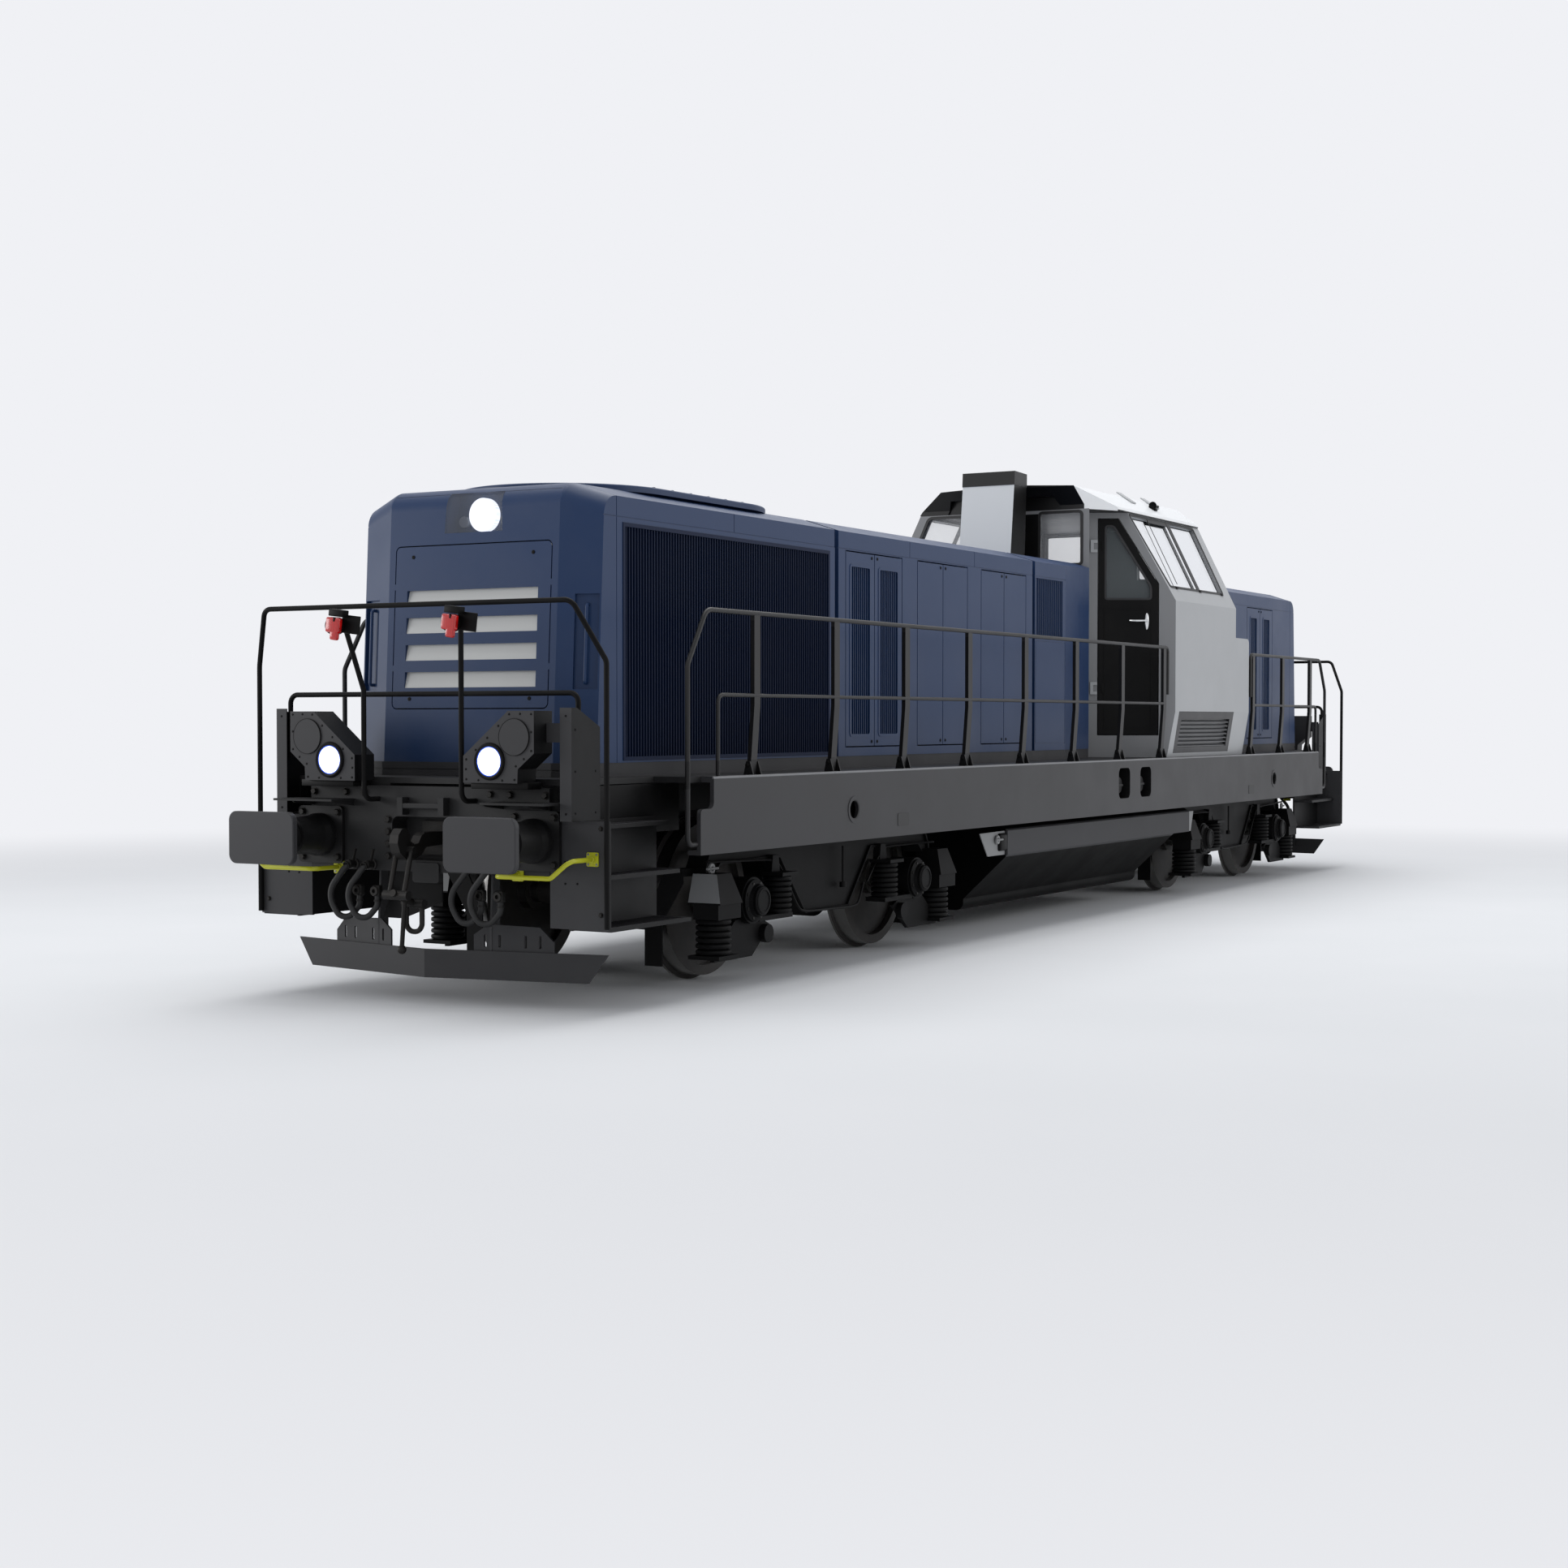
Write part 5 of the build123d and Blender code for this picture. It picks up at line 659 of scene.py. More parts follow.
# %% Hose fittings
COCK = turned_shape([(0, 0), (36, 0), (36, 8), (27, 12), (27, 52), (31, 56), (31, 74), (0, 74)], 20)
COCK_LEVER = block_shape((18, 12, 92), 4)
CLAMP = turned_shape([(21, 0), (24.5, 0), (24.5, 14), (21, 14), (21, 0)], 20)
CLAW = block_shape((62, 46, 74), 12, 3)
CLAW_RING = turned_shape([(14, 0), (30, 0), (33, 6), (30, 14), (14, 14), (14, 0)], 20)
fittings = []
for x in (-600, -450, 400, 550):
    fittings += [(COCK, at(spot(x, BEAM_FACE, 870), FRONT)),
                 (COCK_LEVER, at(spot(x + 20, 556, 888), (0.35, -0.1, 1))),
                 (CLAMP, at(spot(x, 522, 868), (0, -1, -0.25))),
                 (CLAMP, at(spot(x + 60, 576, 628))), (CLAW, at(spot(x + 60, 572, 664))),
                 (CLAW_RING, at(spot(x + 60, 549, 700), FRONT))]
piece("hose_fittings", also(FAR_END, fittings), FORGED)

# %% [markdown]
# ## Shunter's handles
# The yellow bars end in lugs on the beam and on the corner plate. Each lug is a plate with rounded corners
# and four screws.

# %% Lugs of the yellow bars
LUG = plate_shape([(-44, -44), (44, -44), (44, 44), (-44, 44)], 8, 10)
RING = turned_shape([(15, 8), (22, 8), (19, 20), (15, 22), (15, 8)], 20)
LUG_PLACES = ((1300, CORNER_FACE, 955), (731, BEAM_FACE, 845))
lugs = [(shape, at(spot(*place), FRONT)) for place in LUG_PLACES
        for shape in (LUG, RING)]
heads = screws([(x + dx, y - 8, z + dz) for x, y, z in LUG_PLACES
                for dx in (-31, 31) for dz in (-31, 31)], FRONT)
piece("handle_lugs", all_corners(lugs), YELLOW_GREEN)
piece("handle_lug_screws", all_corners(heads), ZINC)

# %% [markdown]
# ## Steps
# The treads are open gratings, so that snow falls through and a boot holds. Bars laid across the recess of
# each tread make one, and every second bar stands a little higher, as its teeth do.

# %% Step gratings
gratings = []
for height, share in ((530, 1), (845, 0.71), (1160, 0.43)):
    outer = 1120 + 301 * share
    width = outer - 34 - 1150
    BAR = block_shape((width + 4, 5, 9), 1, 1)
    gratings += [(BAR, Matrix.Translation(spot((1150 + outer - 34) / 2, 662 + 26 * row, height - 10 + row % 2)))
                 for row in range(33)]
piece("step_gratings", all_corners(gratings), FRAME_GREY)

# %% [markdown]
# ## Sills
# Each sill has two round lifting ports lined with black rubber, and two square ones closed by a black grommet.

# %% Rings of the sill ports
PORT_RING = turned_shape([(66, -22), (76, -22), (76, -1), (70, -1), (66, -4), (66, -22)], 40)
GROMMET = plate_shape([(-96, -50), (96, -50), (96, 50), (-96, 50)], 3, 16)
rings = [(PORT_RING, at(spot(1475, y, 1160), RIGHT)) for y in (3755, 13998)]
rings += [(GROMMET, at(spot(1470, y, z), RIGHT)) for y, z in ((4567, 1057), (13176, 1059))]
piece("sill_port_rings", also(LEFT_SIDE, rings), SEAL)

# %% [markdown]
# ## Hatches at the hood ends
# Four small black locks hold a hatch in its corners. The pale slot plates, partly pale paint and partly a painted
# highlight, are in the hatch's material.

# %% Hatch locks
LOCK = turned_shape([(0, 0), (13, 0), (13, 3), (9, 4), (9, 2.5), (3, 2.5), (2, 4.5), (0, 4.5)], 16)
RAKE = 0.0542              # how far a hood end leans back for each unit of height
hatch_normal = Vector((0, -1, RAKE)).normalized()
locks = [(LOCK, at(spot(x, 1041 + (z - 1900) * RAKE, z), hatch_normal)) for x in (-497, 497)
         for z in (1962, 2919)]
piece("hatch_locks", also(FAR_END, locks), SATIN_BLACK)

# %% [markdown]
# ## Hood doors
# Each leaf has two flush locks beside the split, one high and one low, and its grille sits in a thin raised
# frame. Behind the fins is a woven dust screen. All of it rides on the leaf's own body, so it opens with it.

# %% Fittings of the hood doors
DOORS = {"grille": (4545, 5515, 320), "engine_a": (5810, 6780, 0), "engine_b": (7075, 8045, 0),
         "short": (14510, 15470, 230)}
GRILLE_FOOT, GRILLE_HEAD = 1709, 3023
LOCK_HEIGHTS = (1651, 3104)
HOOD_SIDE, SCREEN_AT = 980, 946.5
for name, (start, end, width) in DOORS.items():
    for part, side_of_split in (("near", -1), ("far", 1)):
        middle = (start + end) / 2
        centre = (start + middle - 5) / 2 if part == "near" else (middle + 5 + end) / 2
        fitted = [(LOCK, at(spot(HOOD_SIDE, middle + side_of_split * 48, z), RIGHT)) for z in LOCK_HEIGHTS]
        for side, turn in (("right", Matrix()), ("left", LEFT_SIDE)):
            body = f"leaf_{name}_{part}_{side}"
            piece(f"locks_{name}_{part}_{side}", moved(turn, fitted), SATIN_BLACK, body)
            if width:
                height = GRILLE_HEAD - GRILLE_FOOT
                FRAME = plate_shape([(-width / 2 - 20, -20), (width / 2 + 20, -20),
                                     (width / 2 + 20, height + 20), (-width / 2 - 20, height + 20)], 4, 36, 22)
                SCREEN = block_shape((4, width - 1, height - 1), 0.4, 1)
                upright = Matrix.Translation(spot(HOOD_SIDE, centre, GRILLE_FOOT)) @ ALONG
                piece(f"grille_frame_{name}_{part}_{side}", [(FRAME, turn @ upright)], HOOD_NAVY, body)
                piece(f"dust_screen_{name}_{part}_{side}",
                      [(SCREEN, turn @ Matrix.Translation(spot(SCREEN_AT, centre, GRILLE_FOOT + 0.5)))],
                      MESH_BLACK, body)

# %% [markdown]
# ## Radiator
# Behind the upright fins stands the cooler, a wall of flat tubes with thin cooling fins. From outside it is
# a dark block with fine level lines. The real fins are 3 mm apart, too fine to show, so a wave pattern draws
# them 12 mm apart. A similar screen closes the grille beside the exhaust tower.

# %% Radiator core
CORE, tree, shader = start_material("brazed_aluminium_core")
coordinates = add_node(tree, "TexCoord").outputs["Object"]
fins = add_node(tree, "TexWave", {"bands_direction": "Z", "Scale": 1000 / 12 / 3.18}, {"Vector": coordinates})
tint = add_node(tree, "Mix", {"data_type": "RGBA", 6: linear("#05070c"), 7: linear("#151e30")},
                {0: fins.outputs["Fac"]})
bump = add_node(tree, "Bump", {"Strength": 0.5, "Distance": 0.002}, {"Height": fins.outputs["Fac"]})
tree.links.new(tint.outputs[2], shader.inputs["Base Color"])
tree.links.new(bump.outputs[0], shader.inputs["Normal"])
shader.inputs["Roughness"].default_value = 0.55
PANEL = block_shape((24, 2840, 1552), 6)
TANK = block_shape((40, 90, 1552), 16, 3)
core = [(PANEL, Matrix.Translation(spot(918, 2850, 1559)))]
core += [(TANK, Matrix.Translation(spot(918, y, 1559))) for y in (1490, 2850, 4210)]
piece("radiator_cores", also(LEFT_SIDE, core), CORE)
TOWER_SCREEN = block_shape((4, 632, 556), 0.4, 1)
piece("tower_screens", also(LEFT_SIDE, [(TOWER_SCREEN, Matrix.Translation(spot(944, 8603, 2578)))]), MESH_BLACK)

# %% [markdown]
# ## Roof fans
# A guard of wire rings lies on the bars over each fan, so that nobody falls in. Each ring is a small circle
# spun round the fan's axis. A row of bolts holds the cowl down.

# %% Fan guards
def ring_shape(radius, wire, steps=56):
    """A ring of round wire: a small circle spun round the local Z axis."""
    bm = bmesh.new()
    made = bmesh.ops.create_circle(bm, segments=6, radius=wire / 1000)
    bmesh.ops.rotate(bm, verts=bm.verts, cent=(0, 0, 0), matrix=Matrix.Rotation(pi / 2, 3, "X"))
    bmesh.ops.translate(bm, verts=bm.verts, vec=(radius / 1000, 0, 0))
    bmesh.ops.spin(bm, geom=bm.verts[:] + bm.edges[:], cent=(0, 0, 0), axis=(0, 0, 1), angle=2 * pi, steps=steps,
                   use_merge=True)
    return as_mesh(bm)


rings = [ring_shape(radius, 4) for radius in range(70, 560, 45)]
guards = [(ring, at(spot(0, y, 3399))) for y in (2216, 3444) for ring in rings]
piece("fan_guard_rings", guards, DARK_GREY)
cowl_bolts = bolts([(side * 700, y, 3420) for side in (-1, 1) for y in range(2230, 3460, 240)], UP)
piece("cowl_bolts", cowl_bolts, HOOD_NAVY)

# %% [markdown]
# ## Cab windows
# Panes are held by black rubber profiles. A seal is a plate with a rounded outline whose middle is taken out,
# a little thicker than the wall's face. The windows of the two end walls are the same when the cab is turned.
# A black enamelled strip joins each window to the exhaust tower.

# %% Seals of the end windows
def around(outline, grow=16):
    """An outline moved outwards by grow, for a seal that overlaps the wall."""
    centre_x = sum(x for x, y in outline) / len(outline)
    centre_y = sum(y for x, y in outline) / len(outline)
    return [(x + grow * (1 if x > centre_x else -1), y + grow * (1 if y > centre_y else -1)) for x, y in outline]


right_pane = [(320, 3370), (770, 3370), (770, 3890), (320, 3890)]
left_pane = [(-1045, 3370), (-320, 3370), (-320, 3890), (-900, 3890), (-1045, 3605)]
end_wall = Matrix.Translation(spot(0, 9915, 0)) @ IN_FRONT
seals = [(plate_shape(around(pane), 7, 45, 28), end_wall) for pane in (right_pane, left_pane)]
piece("end_window_seals", also(CAB_TURN, seals), SEAL)
BLIND = plate_shape([(60, 3378), (306, 3378), (306, 3882), (60, 3882)], 4, 6)
piece("end_window_blinds", also(CAB_TURN, [(BLIND, end_wall)]), SATIN_BLACK)

# %% [markdown]
# The side windows lie in walls that lean in, so their parts are laid out on the leaning plane: local x along
# the locomotive and local y up the slope. Half of each window slides, in a frame of black bars, and three
# clips hold the sill.

# %% Side windows
LEAN = 0.494
slope = (1 + LEAN * LEAN) ** 0.5
SIDE_WALL = Matrix(((0, -LEAN / slope, 1 / slope, spot(1440, 0, 3030).x), (1, 0, 0, spot(1440, 0, 3030).y),
                    (0, 1 / slope, LEAN / slope, spot(1440, 0, 3030).z), (0, 0, 0, 1)))


def up_slope(height):
    """How far up the leaning wall a height above the rail lies."""
    return (height - 3030) * slope


foot, head = up_slope(3175), up_slope(3890)
pane = [(10830, foot), (12460, foot), (12490, head), (10580, head)]
window = [(plate_shape([(10806, foot - 14), (12474, foot - 14), (12505, head + 14), (10558, head + 14)], 6, 38, 24),
           SIDE_WALL)]
BAR = plate_shape([(11618, foot), (11704, foot), (11704, head), (11618, head)], 8, 4)
THIN_BAR = plate_shape([(11056, foot + 40), (11068, foot + 40), (11068, head - 20), (11056, head - 20)], 4)
TOP_RAIL = plate_shape([(11062, head - 44), (11690, head - 44), (11690, head - 6), (11062, head - 6)], 6, 3)
window += [(BAR, SIDE_WALL), (THIN_BAR, SIDE_WALL), (TOP_RAIL, SIDE_WALL)]
piece("side_window_bars", also(CAB_TURN, window), SEAL)
CLIP = block_shape((64, 26, 14), 5)
clips = [(CLIP, SIDE_WALL @ Matrix.Translation((y / 1000, (foot - 10) / 1000, 0))) for y in (10986, 11702, 12400)]
piece("side_window_clips", also(CAB_TURN, clips), SATIN_BLACK)

# %% [markdown]
# ## Cab doors
# A door hangs on two U-shaped hinge brackets on the wall, painted like the cab. The leaf itself has a plate
# under each, a grey rim round its window, and a polished lever on an oval plate. What is on the leaf rides on
# the door's body. The wall stands at an angle, so everything is laid out on the wall's own plane.

# %% Fittings of the cab doors
wall_x, wall_y = 783 / (783 ** 2 + 405 ** 2) ** 0.5, 405 / (783 ** 2 + 405 ** 2) ** 0.5
corner = spot(657, 10375, 0)
DOOR_WALL = Matrix(((wall_x, 0, wall_y, corner.x), (wall_y, 0, -wall_x, corner.y), (0, 1, 0, corner.z),
                    (0, 0, 0, 1)))


def on_wall(x, z, out=0):
    return DOOR_WALL @ Matrix.Translation((x / 1000, z / 1000, out / 1000))


BRACKET = plate_shape([(-34, -62), (34, -62), (34, -34), (-4, -34), (-4, 34), (34, 34), (34, 62), (-34, 62)],
                      26, 4)
HINGE_HEIGHTS = (2145, 3579)
brackets = [(BRACKET, on_wall(56, z)) for z in HINGE_HEIGHTS]
piece("door_hinge_brackets", also(CAB_TURN, brackets), PALE_GREY)
GLASS_RIM = plate_shape([(164, 3036), (642, 3036), (642, 3174), (260, 3791), (164, 3791)], 4, 32, 20)
DOOR_PAD = block_shape((42, 96, 4), 1)
OVAL = turned_shape([(0, 0), (19, 0), (19, 5), (15, 8), (0, 8)], 24)
oval_plate = Matrix.Diagonal((1, 4.4, 1, 1))
NECK = turned_shape([(0, 0), (13, 0), (10, 8), (9, 40), (0, 40)], 20)
LEVER = bar_shape([Vector((x, 0, z)) / 1000 for x, z in ((0, 34), (-20, 46), (-60, 50), (-150, 50), (-178, 44))],
                  11)
pads = [(DOOR_PAD, on_wall(146, z)) for z in HINGE_HEIGHTS]
lever = [(OVAL, on_wall(591, 2821) @ oval_plate), (NECK, on_wall(591, 2825)), (LEVER, on_wall(591, 2825))]
for body, turn in (("cab_door_near", Matrix()), ("cab_door_far", CAB_TURN)):
    piece(f"{body}_rim", [(GLASS_RIM, turn @ on_wall(0, 0))], FRAME_GREY, body)
    piece(f"{body}_hinge_pads", moved(turn, pads), SATIN_BLACK, body)
    piece(f"{body}_lever", moved(turn, lever), POLISHED, body)

# %% [markdown]
# ## On the cab roof
# A horn and two flat covers sit on each slope of the roof. The horn is a bell turned on a lathe, on a small
# foot, and it looks along the track.

# %% Horns and covers
roof_normal = Vector((179, 0, 265)).normalized()
BELL = turned_shape([(0, 0), (17, 0), (15, 26), (19, 90), (30, 130), (44, 150), (41, 152), (26, 134), (0, 120)], 24)
FOOT = block_shape((70, 90, 26), 8)
COVER = block_shape((120, 210, 14), 5)
horn = [(BELL, at(spot(872, 11790, 4082), FRONT)), (FOOT, at(spot(853, 11690, 4052), roof_normal))]
piece("horns", also(CAB_TURN, horn), SATIN_BLACK)
covers = [(COVER, at(spot(740, 11900, 4128), roof_normal)), (COVER, at(spot(740, 11200, 4128), roof_normal))]
piece("roof_covers", also(CAB_TURN, covers), PALE_GREY)

# %% [markdown]
# ## Axle boxes
# A roller-bearing axle box is closed by a flange with eight bolts and a plain round cover with a rim. They sit
# on the bogie, not on the wheels, so they ride on the bogie's body. Two air pipes follow the edge of each side
# frame, and a rod hangs beside its middle. On the outer spring housing stands an eye for lifting.

# %% Axle boxes, pipes and lifting eyes
CAP = turned_shape([(74, 0), (74, 3), (80, 7), (90, 5), (93, 0), (74, 0)], 40)
EYE = turned_shape([(17, 0), (36, 0), (40, 9), (36, 18), (17, 18), (17, 0)], 24)
EYE_PIN = bar_shape([Vector((-0.07, 0, 0.012)), Vector((0.07, 0, 0.012))], 9, False)
LONG_PIPE = ((-1790, 845), (-1400, 832), (-900, 815), (-800, 790), (-650, 622), (-500, 430), (-400, 402), (0, 392),
             (380, 384), (470, 410), (540, 560))
SHORT_PIPE = ((1790, 818), (1300, 820), (930, 822), (850, 800), (690, 650), (600, 560))
NEAR_PIVOT, FAR_PIVOT, AXLE_HEIGHT = 4020, 13620, 550
PIPE_X, ROD_AT, BOLT_CIRCLE = 1128, 4220, 128
BOGIE_TURN = Matrix.Translation(spot(0, FAR_PIVOT, 0)) @ FAR_END @ Matrix.Translation(-spot(0, NEAR_PIVOT, 0))
flange_bolts, caps = [], []
for axle in (NEAR_PIVOT - 1300, NEAR_PIVOT + 1300):
    angles = [pi / 8 + pi / 4 * number for number in range(8)]
    flange_bolts += bolts([(1235, axle + BOLT_CIRCLE * cos(angle), AXLE_HEIGHT + BOLT_CIRCLE * sin(angle))
                           for angle in angles], RIGHT)
    caps += [(CAP, at(spot(1298, axle, AXLE_HEIGHT), RIGHT))]
pipes = [(bar_shape([spot(PIPE_X, NEAR_PIVOT + y, z) for y, z in line], 9), Matrix())
         for line in (LONG_PIPE, SHORT_PIPE)]
pipes += [(bar_shape([spot(PIPE_X, ROD_AT, z) for z in (860, 560)], 9, False), Matrix()),
          (turned_shape([(0, 0), (26, 0), (26, 40), (0, 40)], 16), Matrix.Translation(spot(PIPE_X, ROD_AT, 545)))]
eyes = [(EYE, at(spot(1130, 2276, 797), RIGHT)), (EYE_PIN, at(spot(1136, 2276, 797), RIGHT))]
BOGIE_FITTINGS = {"axle_box_bolts": (flange_bolts, FORGED), "axle_box_caps": (caps, DARK_GREY),
                  "brake_pipes": (pipes, SATIN_BLACK), "lifting_eyes": (eyes, LUG_GREY)}
for body, turn in (("bogie_near", Matrix()), ("bogie_far", BOGIE_TURN)):
    for name, (placed, material) in BOGIE_FITTINGS.items():
        piece(f"{name}_{body}", moved(turn, also(LEFT_SIDE, placed)), material, body)

# %% [markdown]
# A pale sloping plate with the same lifting eye leads to the start of the tank's side strip, and a short one
# closes its end.

# %% Plates at the tank
SLOPING = plate_shape([(-518, 200), (-354, 0), (0, 0), (0, 205)], 8, 5)
SHORT_PLATE = plate_shape([(0, 0), (120, 0), (200, 205), (0, 205)], 8, 5)
EYE_BOX = block_shape((60, 150, 150), 20, 3)
tank_plates = [(SLOPING, Matrix.Translation(spot(1316, 6818, 664)) @ ALONG),
               (SHORT_PLATE, Matrix.Translation(spot(1316, 11475, 664)) @ ALONG),
               (EYE, at(spot(1330, 6630, 800), RIGHT)), (EYE_PIN, at(spot(1340, 6640, 800), RIGHT))]
piece("tank_plates", also(LEFT_SIDE, tank_plates), LUG_GREY)
piece("tank_eye_boxes", also(LEFT_SIDE, [(EYE_BOX, Matrix.Translation(spot(1322, 6742, 700)))]), SATIN_BLACK)

# %% [markdown]
# ## Handrail feet
# Each post stands between two black gussets, held by one bolt through both. The posts' places follow the
# rails: eight and three on the right side, seven and four on the left.

# %% Bolts of the handrail feet
RAIL_RUNS = [(Matrix(), 2370, 10446, 8), (Matrix(), 15491, 13307, 3),
             (LEFT_SIDE, 2370, 9303, 7), (LEFT_SIDE, 15491, 12164, 4)]
feet = []
for turn, first, last, count in RAIL_RUNS:
    for number in range(count):
        y = first + (last - first) * number / (count - 1)
        feet += moved(turn, bolts([(1406, y - 60, 1513)], FRONT) + bolts([(1406, y + 60, 1513)], (0, 1, 0)))
piece("handrail_foot_bolts", feet, SATIN_BLACK)

# %% [markdown]
# ## Inside the cab
# Two drivers' places face opposite ways, each with a desk and a sprung seat. The CAD model holds them as
# blocks, so these pieces take their place. A desk is a profile cut from plate: a foot, a sloping panel
# with instruments and a hood over them. The seat's cushions come next.

# %% Desks and seat posts
FLOOR = 1550
desk_profile = [(-1150, 0), (-760, 0), (-720, 620), (-702, 700), (-705, 735), (-860, 800), (-1000, 930),
                (-985, 1080), (-1020, 1110), (-1135, 1100), (-1150, 1080)]
DESK = plate_shape(desk_profile, 1400, 12)
SCREEN_BOX = block_shape((300, 30, 190), 8)
GAUGE = turned_shape([(0, 0), (44, 0), (46, 8), (40, 12), (38, 7), (0, 7)], 24)
CONTROL = turned_shape([(0, 0), (22, 0), (10, 6), (8, 90), (20, 100), (22, 118), (12, 132), (0, 134)], 16)
PEDESTAL = turned_shape([(0, 0), (150, 0), (150, 14), (58, 22), (56, 200), (44, 210), (44, 410), (0, 410)], 28)
desk = [(DESK, Matrix.Translation(spot(-1230, CAB_MIDDLE, FLOOR)) @ ALONG)]
panel = Vector((0, 0.62, 0.78))
tools = [(SCREEN_BOX, at(spot(x, CAB_MIDDLE - 930, FLOOR + 900), (0, 0.5, 1))) for x in (-860, -500)]
tools += [(GAUGE, at(spot(x, CAB_MIDDLE - 900, FLOOR + 850), panel)) for x in (-200, -80, 40)]
tools += [(CONTROL, at(spot(x, CAB_MIDDLE - 790, FLOOR + 766), (0, 0.2, 1))) for x in (-1000, -380)]
stands = [(PEDESTAL, at(spot(-700, CAB_MIDDLE - 150, FLOOR)))]
desks = piece("driver_desks", also(CAB_TURN, desk), PLASTIC)
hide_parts("cab_interior")
piece("desk_instruments", also(CAB_TURN, tools), SATIN_BLACK)
piece("seat_pedestals", also(CAB_TURN, stands), MACHINE_GREY)

# %% [markdown]
# A cushion is foam in a sewn cover, so it swells between its seams and pulls in at its corners. The recipe is
# a smaller block, remeshed finely, blown up as cloth with the movement capped, and then smoothed.

# %% Cushions
CUSHIONS = {"seat_cushion": ((500, 490, 120), (-700, -155, 420), 18),
            "seat_back": ((460, 90, 760), (-700, 65, 540), 14)}


def cushion(name, size, place, cap, turn):
    """A swollen pad in the space of a block."""
    shape = block_shape([length - 2 * cap * 0.75 for length in size], 30, 3)
    mesh = shape.copy()
    mesh.transform(Matrix.Translation((0, 0, cap * 0.75 / 1000)))
    holder = bpy.data.objects.new(name, mesh)
    bpy.context.scene.collection.objects.link(holder)
    remesh = holder.modifiers.new("remesh", "REMESH")
    remesh.mode, remesh.voxel_size = "VOXEL", 0.009
    bpy.context.view_layer.update()
    fine = bpy.data.meshes.new_from_object(holder.evaluated_get(bpy.context.evaluated_depsgraph_get()))
    holder.modifiers.clear()
    holder.data = fine
    start = [vert.co.copy() for vert in fine.vertices]
    cloth = holder.modifiers.new("cloth", "CLOTH")
    cloth.settings.use_pressure = True
    cloth.settings.uniform_pressure_force = 4
    cloth.settings.effector_weights.gravity = 0
    cloth.point_cache.frame_start, cloth.point_cache.frame_end = 1, 20
    for frame_number in range(1, 21):
        bpy.context.scene.frame_set(frame_number)
    blown = holder.evaluated_get(bpy.context.evaluated_depsgraph_get()).to_mesh()
    moved = [vert.co.copy() for vert in blown.vertices]
    holder.modifiers.clear()
    bpy.context.scene.frame_set(1)
    for vert, old, new in zip(fine.vertices, start, moved):
        step = new - old
        vert.co = old + step * min(1, cap / 1000 / max(step.length, 1e-6))
    fine.transform(turn @ Matrix.Translation(spot(place[0], CAB_MIDDLE + place[1], FLOOR + place[2])))
    if turn.determinant() < 0:
        fine.flip_normals()
    fine.shade_smooth()
    fine.materials.clear()
    fine.materials.append(SEAT_CLOTH)
    finish = holder.modifiers.new("smooth", "SUBSURF")
    finish.levels = finish.render_levels = 1
    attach(holder, "locomotive")
    print(f"{name}: {len(fine.vertices)} points")
    return holder


for seat, turn in (("near", Matrix()), ("far", CAB_TURN)):
    for name, (size, place, cap) in CUSHIONS.items():
        cushion(f"{name}_{seat}", size, place, cap, turn)

# %% [markdown]
# ## Studio
# The floor is pale and matt, and the background behind it is almost white. The world is bright for the eye
# and for reflections, so that metal and glass show a pale room, and dimmer as a light. The floor melts into
# the background because far away it takes the world's own colour.

# %% World
scene = bpy.context.scene
world = scene.world or bpy.data.worlds.new("studio")
scene.world = world
world.use_nodes = True
tree = world.node_tree
tree.nodes.clear()
path = add_node(tree, "LightPath")
seen_or_glossy = add_node(tree, "Math", {"operation": "MAXIMUM"},
                          {0: path.outputs["Is Camera Ray"], 1: path.outputs["Is Glossy Ray"]})
seen = add_node(tree, "Math", {"operation": "MAXIMUM"},
                {0: seen_or_glossy.outputs[0], 1: path.outputs["Is Transmission Ray"]})
backdrop = add_node(tree, "Background", {"Color": linear("#f0f1f5"), "Strength": 1.0})
light = add_node(tree, "Background", {"Color": linear("#f3f6fc"), "Strength": 0.42})
choice = add_node(tree, "MixShader", links={0: seen.outputs[0], 1: light.outputs[0], 2: backdrop.outputs[0]})
add_node(tree, "OutputWorld", links={"Surface": choice.outputs[0]})

# %% [markdown]
# The floor is a wide disc. Near the locomotive it is matt and takes the shadow. Towards its edge, by its own
# distance from the middle, it fades into the background, so that no horizon shows.

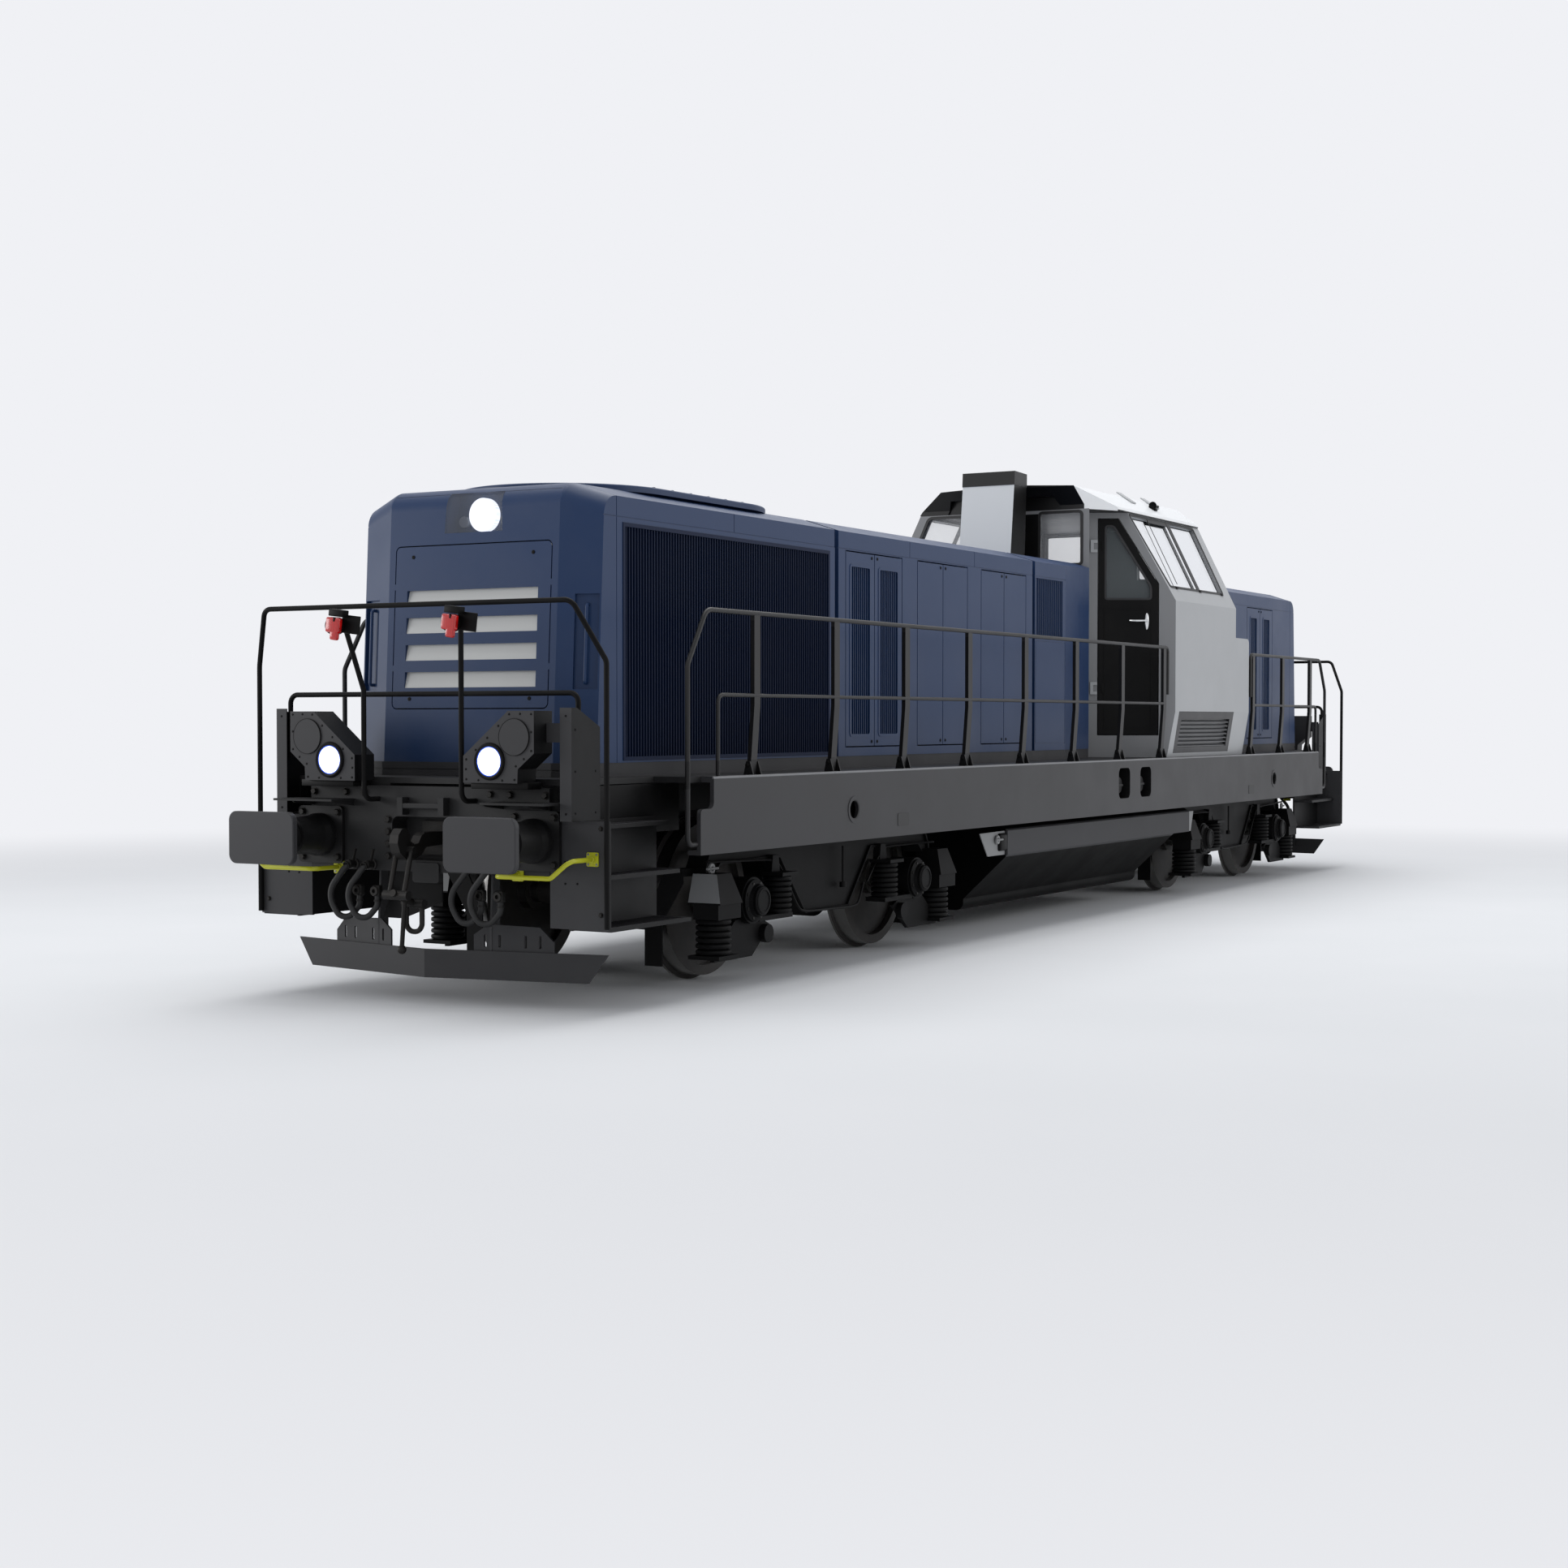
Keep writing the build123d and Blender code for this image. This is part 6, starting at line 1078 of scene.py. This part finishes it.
# %% Floor
bm = bmesh.new()
bmesh.ops.create_circle(bm, segments=96, radius=220, cap_ends=True)
floor_mesh = as_mesh(bm)
floor = bpy.data.objects.new("studio_floor", floor_mesh)
scene.collection.objects.link(floor)
FLOOR_PAPER, tree, shader = start_material("matt_backdrop_paper")
coordinates = add_node(tree, "TexCoord").outputs["Object"]
distance = add_node(tree, "VectorMath", {"operation": "LENGTH"}, {0: coordinates})
far = add_node(tree, "MapRange", {"From Min": 6.0, "From Max": 21.0, "interpolation_type": "SMOOTHSTEP"},
               {"Value": distance.outputs["Value"]})
fibre = add_node(tree, "TexNoise", {"Scale": 0.5, "Detail": 2}, {"Vector": coordinates})
paper = add_node(tree, "Mix", {"data_type": "RGBA", 6: linear("#eef0f2"), 7: linear("#f4f5f7")},
                 {0: fibre.outputs["Fac"]})
white = add_node(tree, "Emission", {"Color": linear("#f0f1f5"), "Strength": 1.0})
fade = add_node(tree, "MixShader", links={0: far.outputs[0], 1: shader.outputs[0], 2: white.outputs[0]})
tree.links.new(paper.outputs[2], shader.inputs["Base Color"])
shader.inputs["Roughness"].default_value = 0.9
shader.inputs["Specular IOR Level"].default_value = 0.1
tree.links.new(fade.outputs[0], tree.nodes["Material Output"].inputs["Surface"])
floor_mesh.materials.append(FLOOR_PAPER)

# %% [markdown]
# Three large soft boxes give the light. The one overhead makes the roof the brightest part and leaves soft
# shadows under the frame. The one on the right side lifts the long flank, and the one in front, on the left, parts
# the two halves of the plough by their brightness.

# %% Soft boxes
def soft_box(name, place, target, size, power):
    """A rectangular area light that looks at a target."""
    data = bpy.data.lights.new(name, "AREA")
    data.shape, data.size, data.size_y, data.energy = "RECTANGLE", size[0], size[1], power
    light = bpy.data.objects.new(name, data)
    light.location = place
    light.rotation_euler = (Vector(target) - Vector(place)).to_track_quat("-Z", "Y").to_euler()
    scene.collection.objects.link(light)


soft_box("overhead", (-1, 0, 14), (0, 0, 2), (22, 12), 1700)
soft_box("right_side", (17, 3, 7), (0, 2, 2), (18, 7), 620)
soft_box("front", (-15, -16, 4.5), (0, -8, 1.4), (9, 6), 980)
scene.view_settings.view_transform = "Standard"
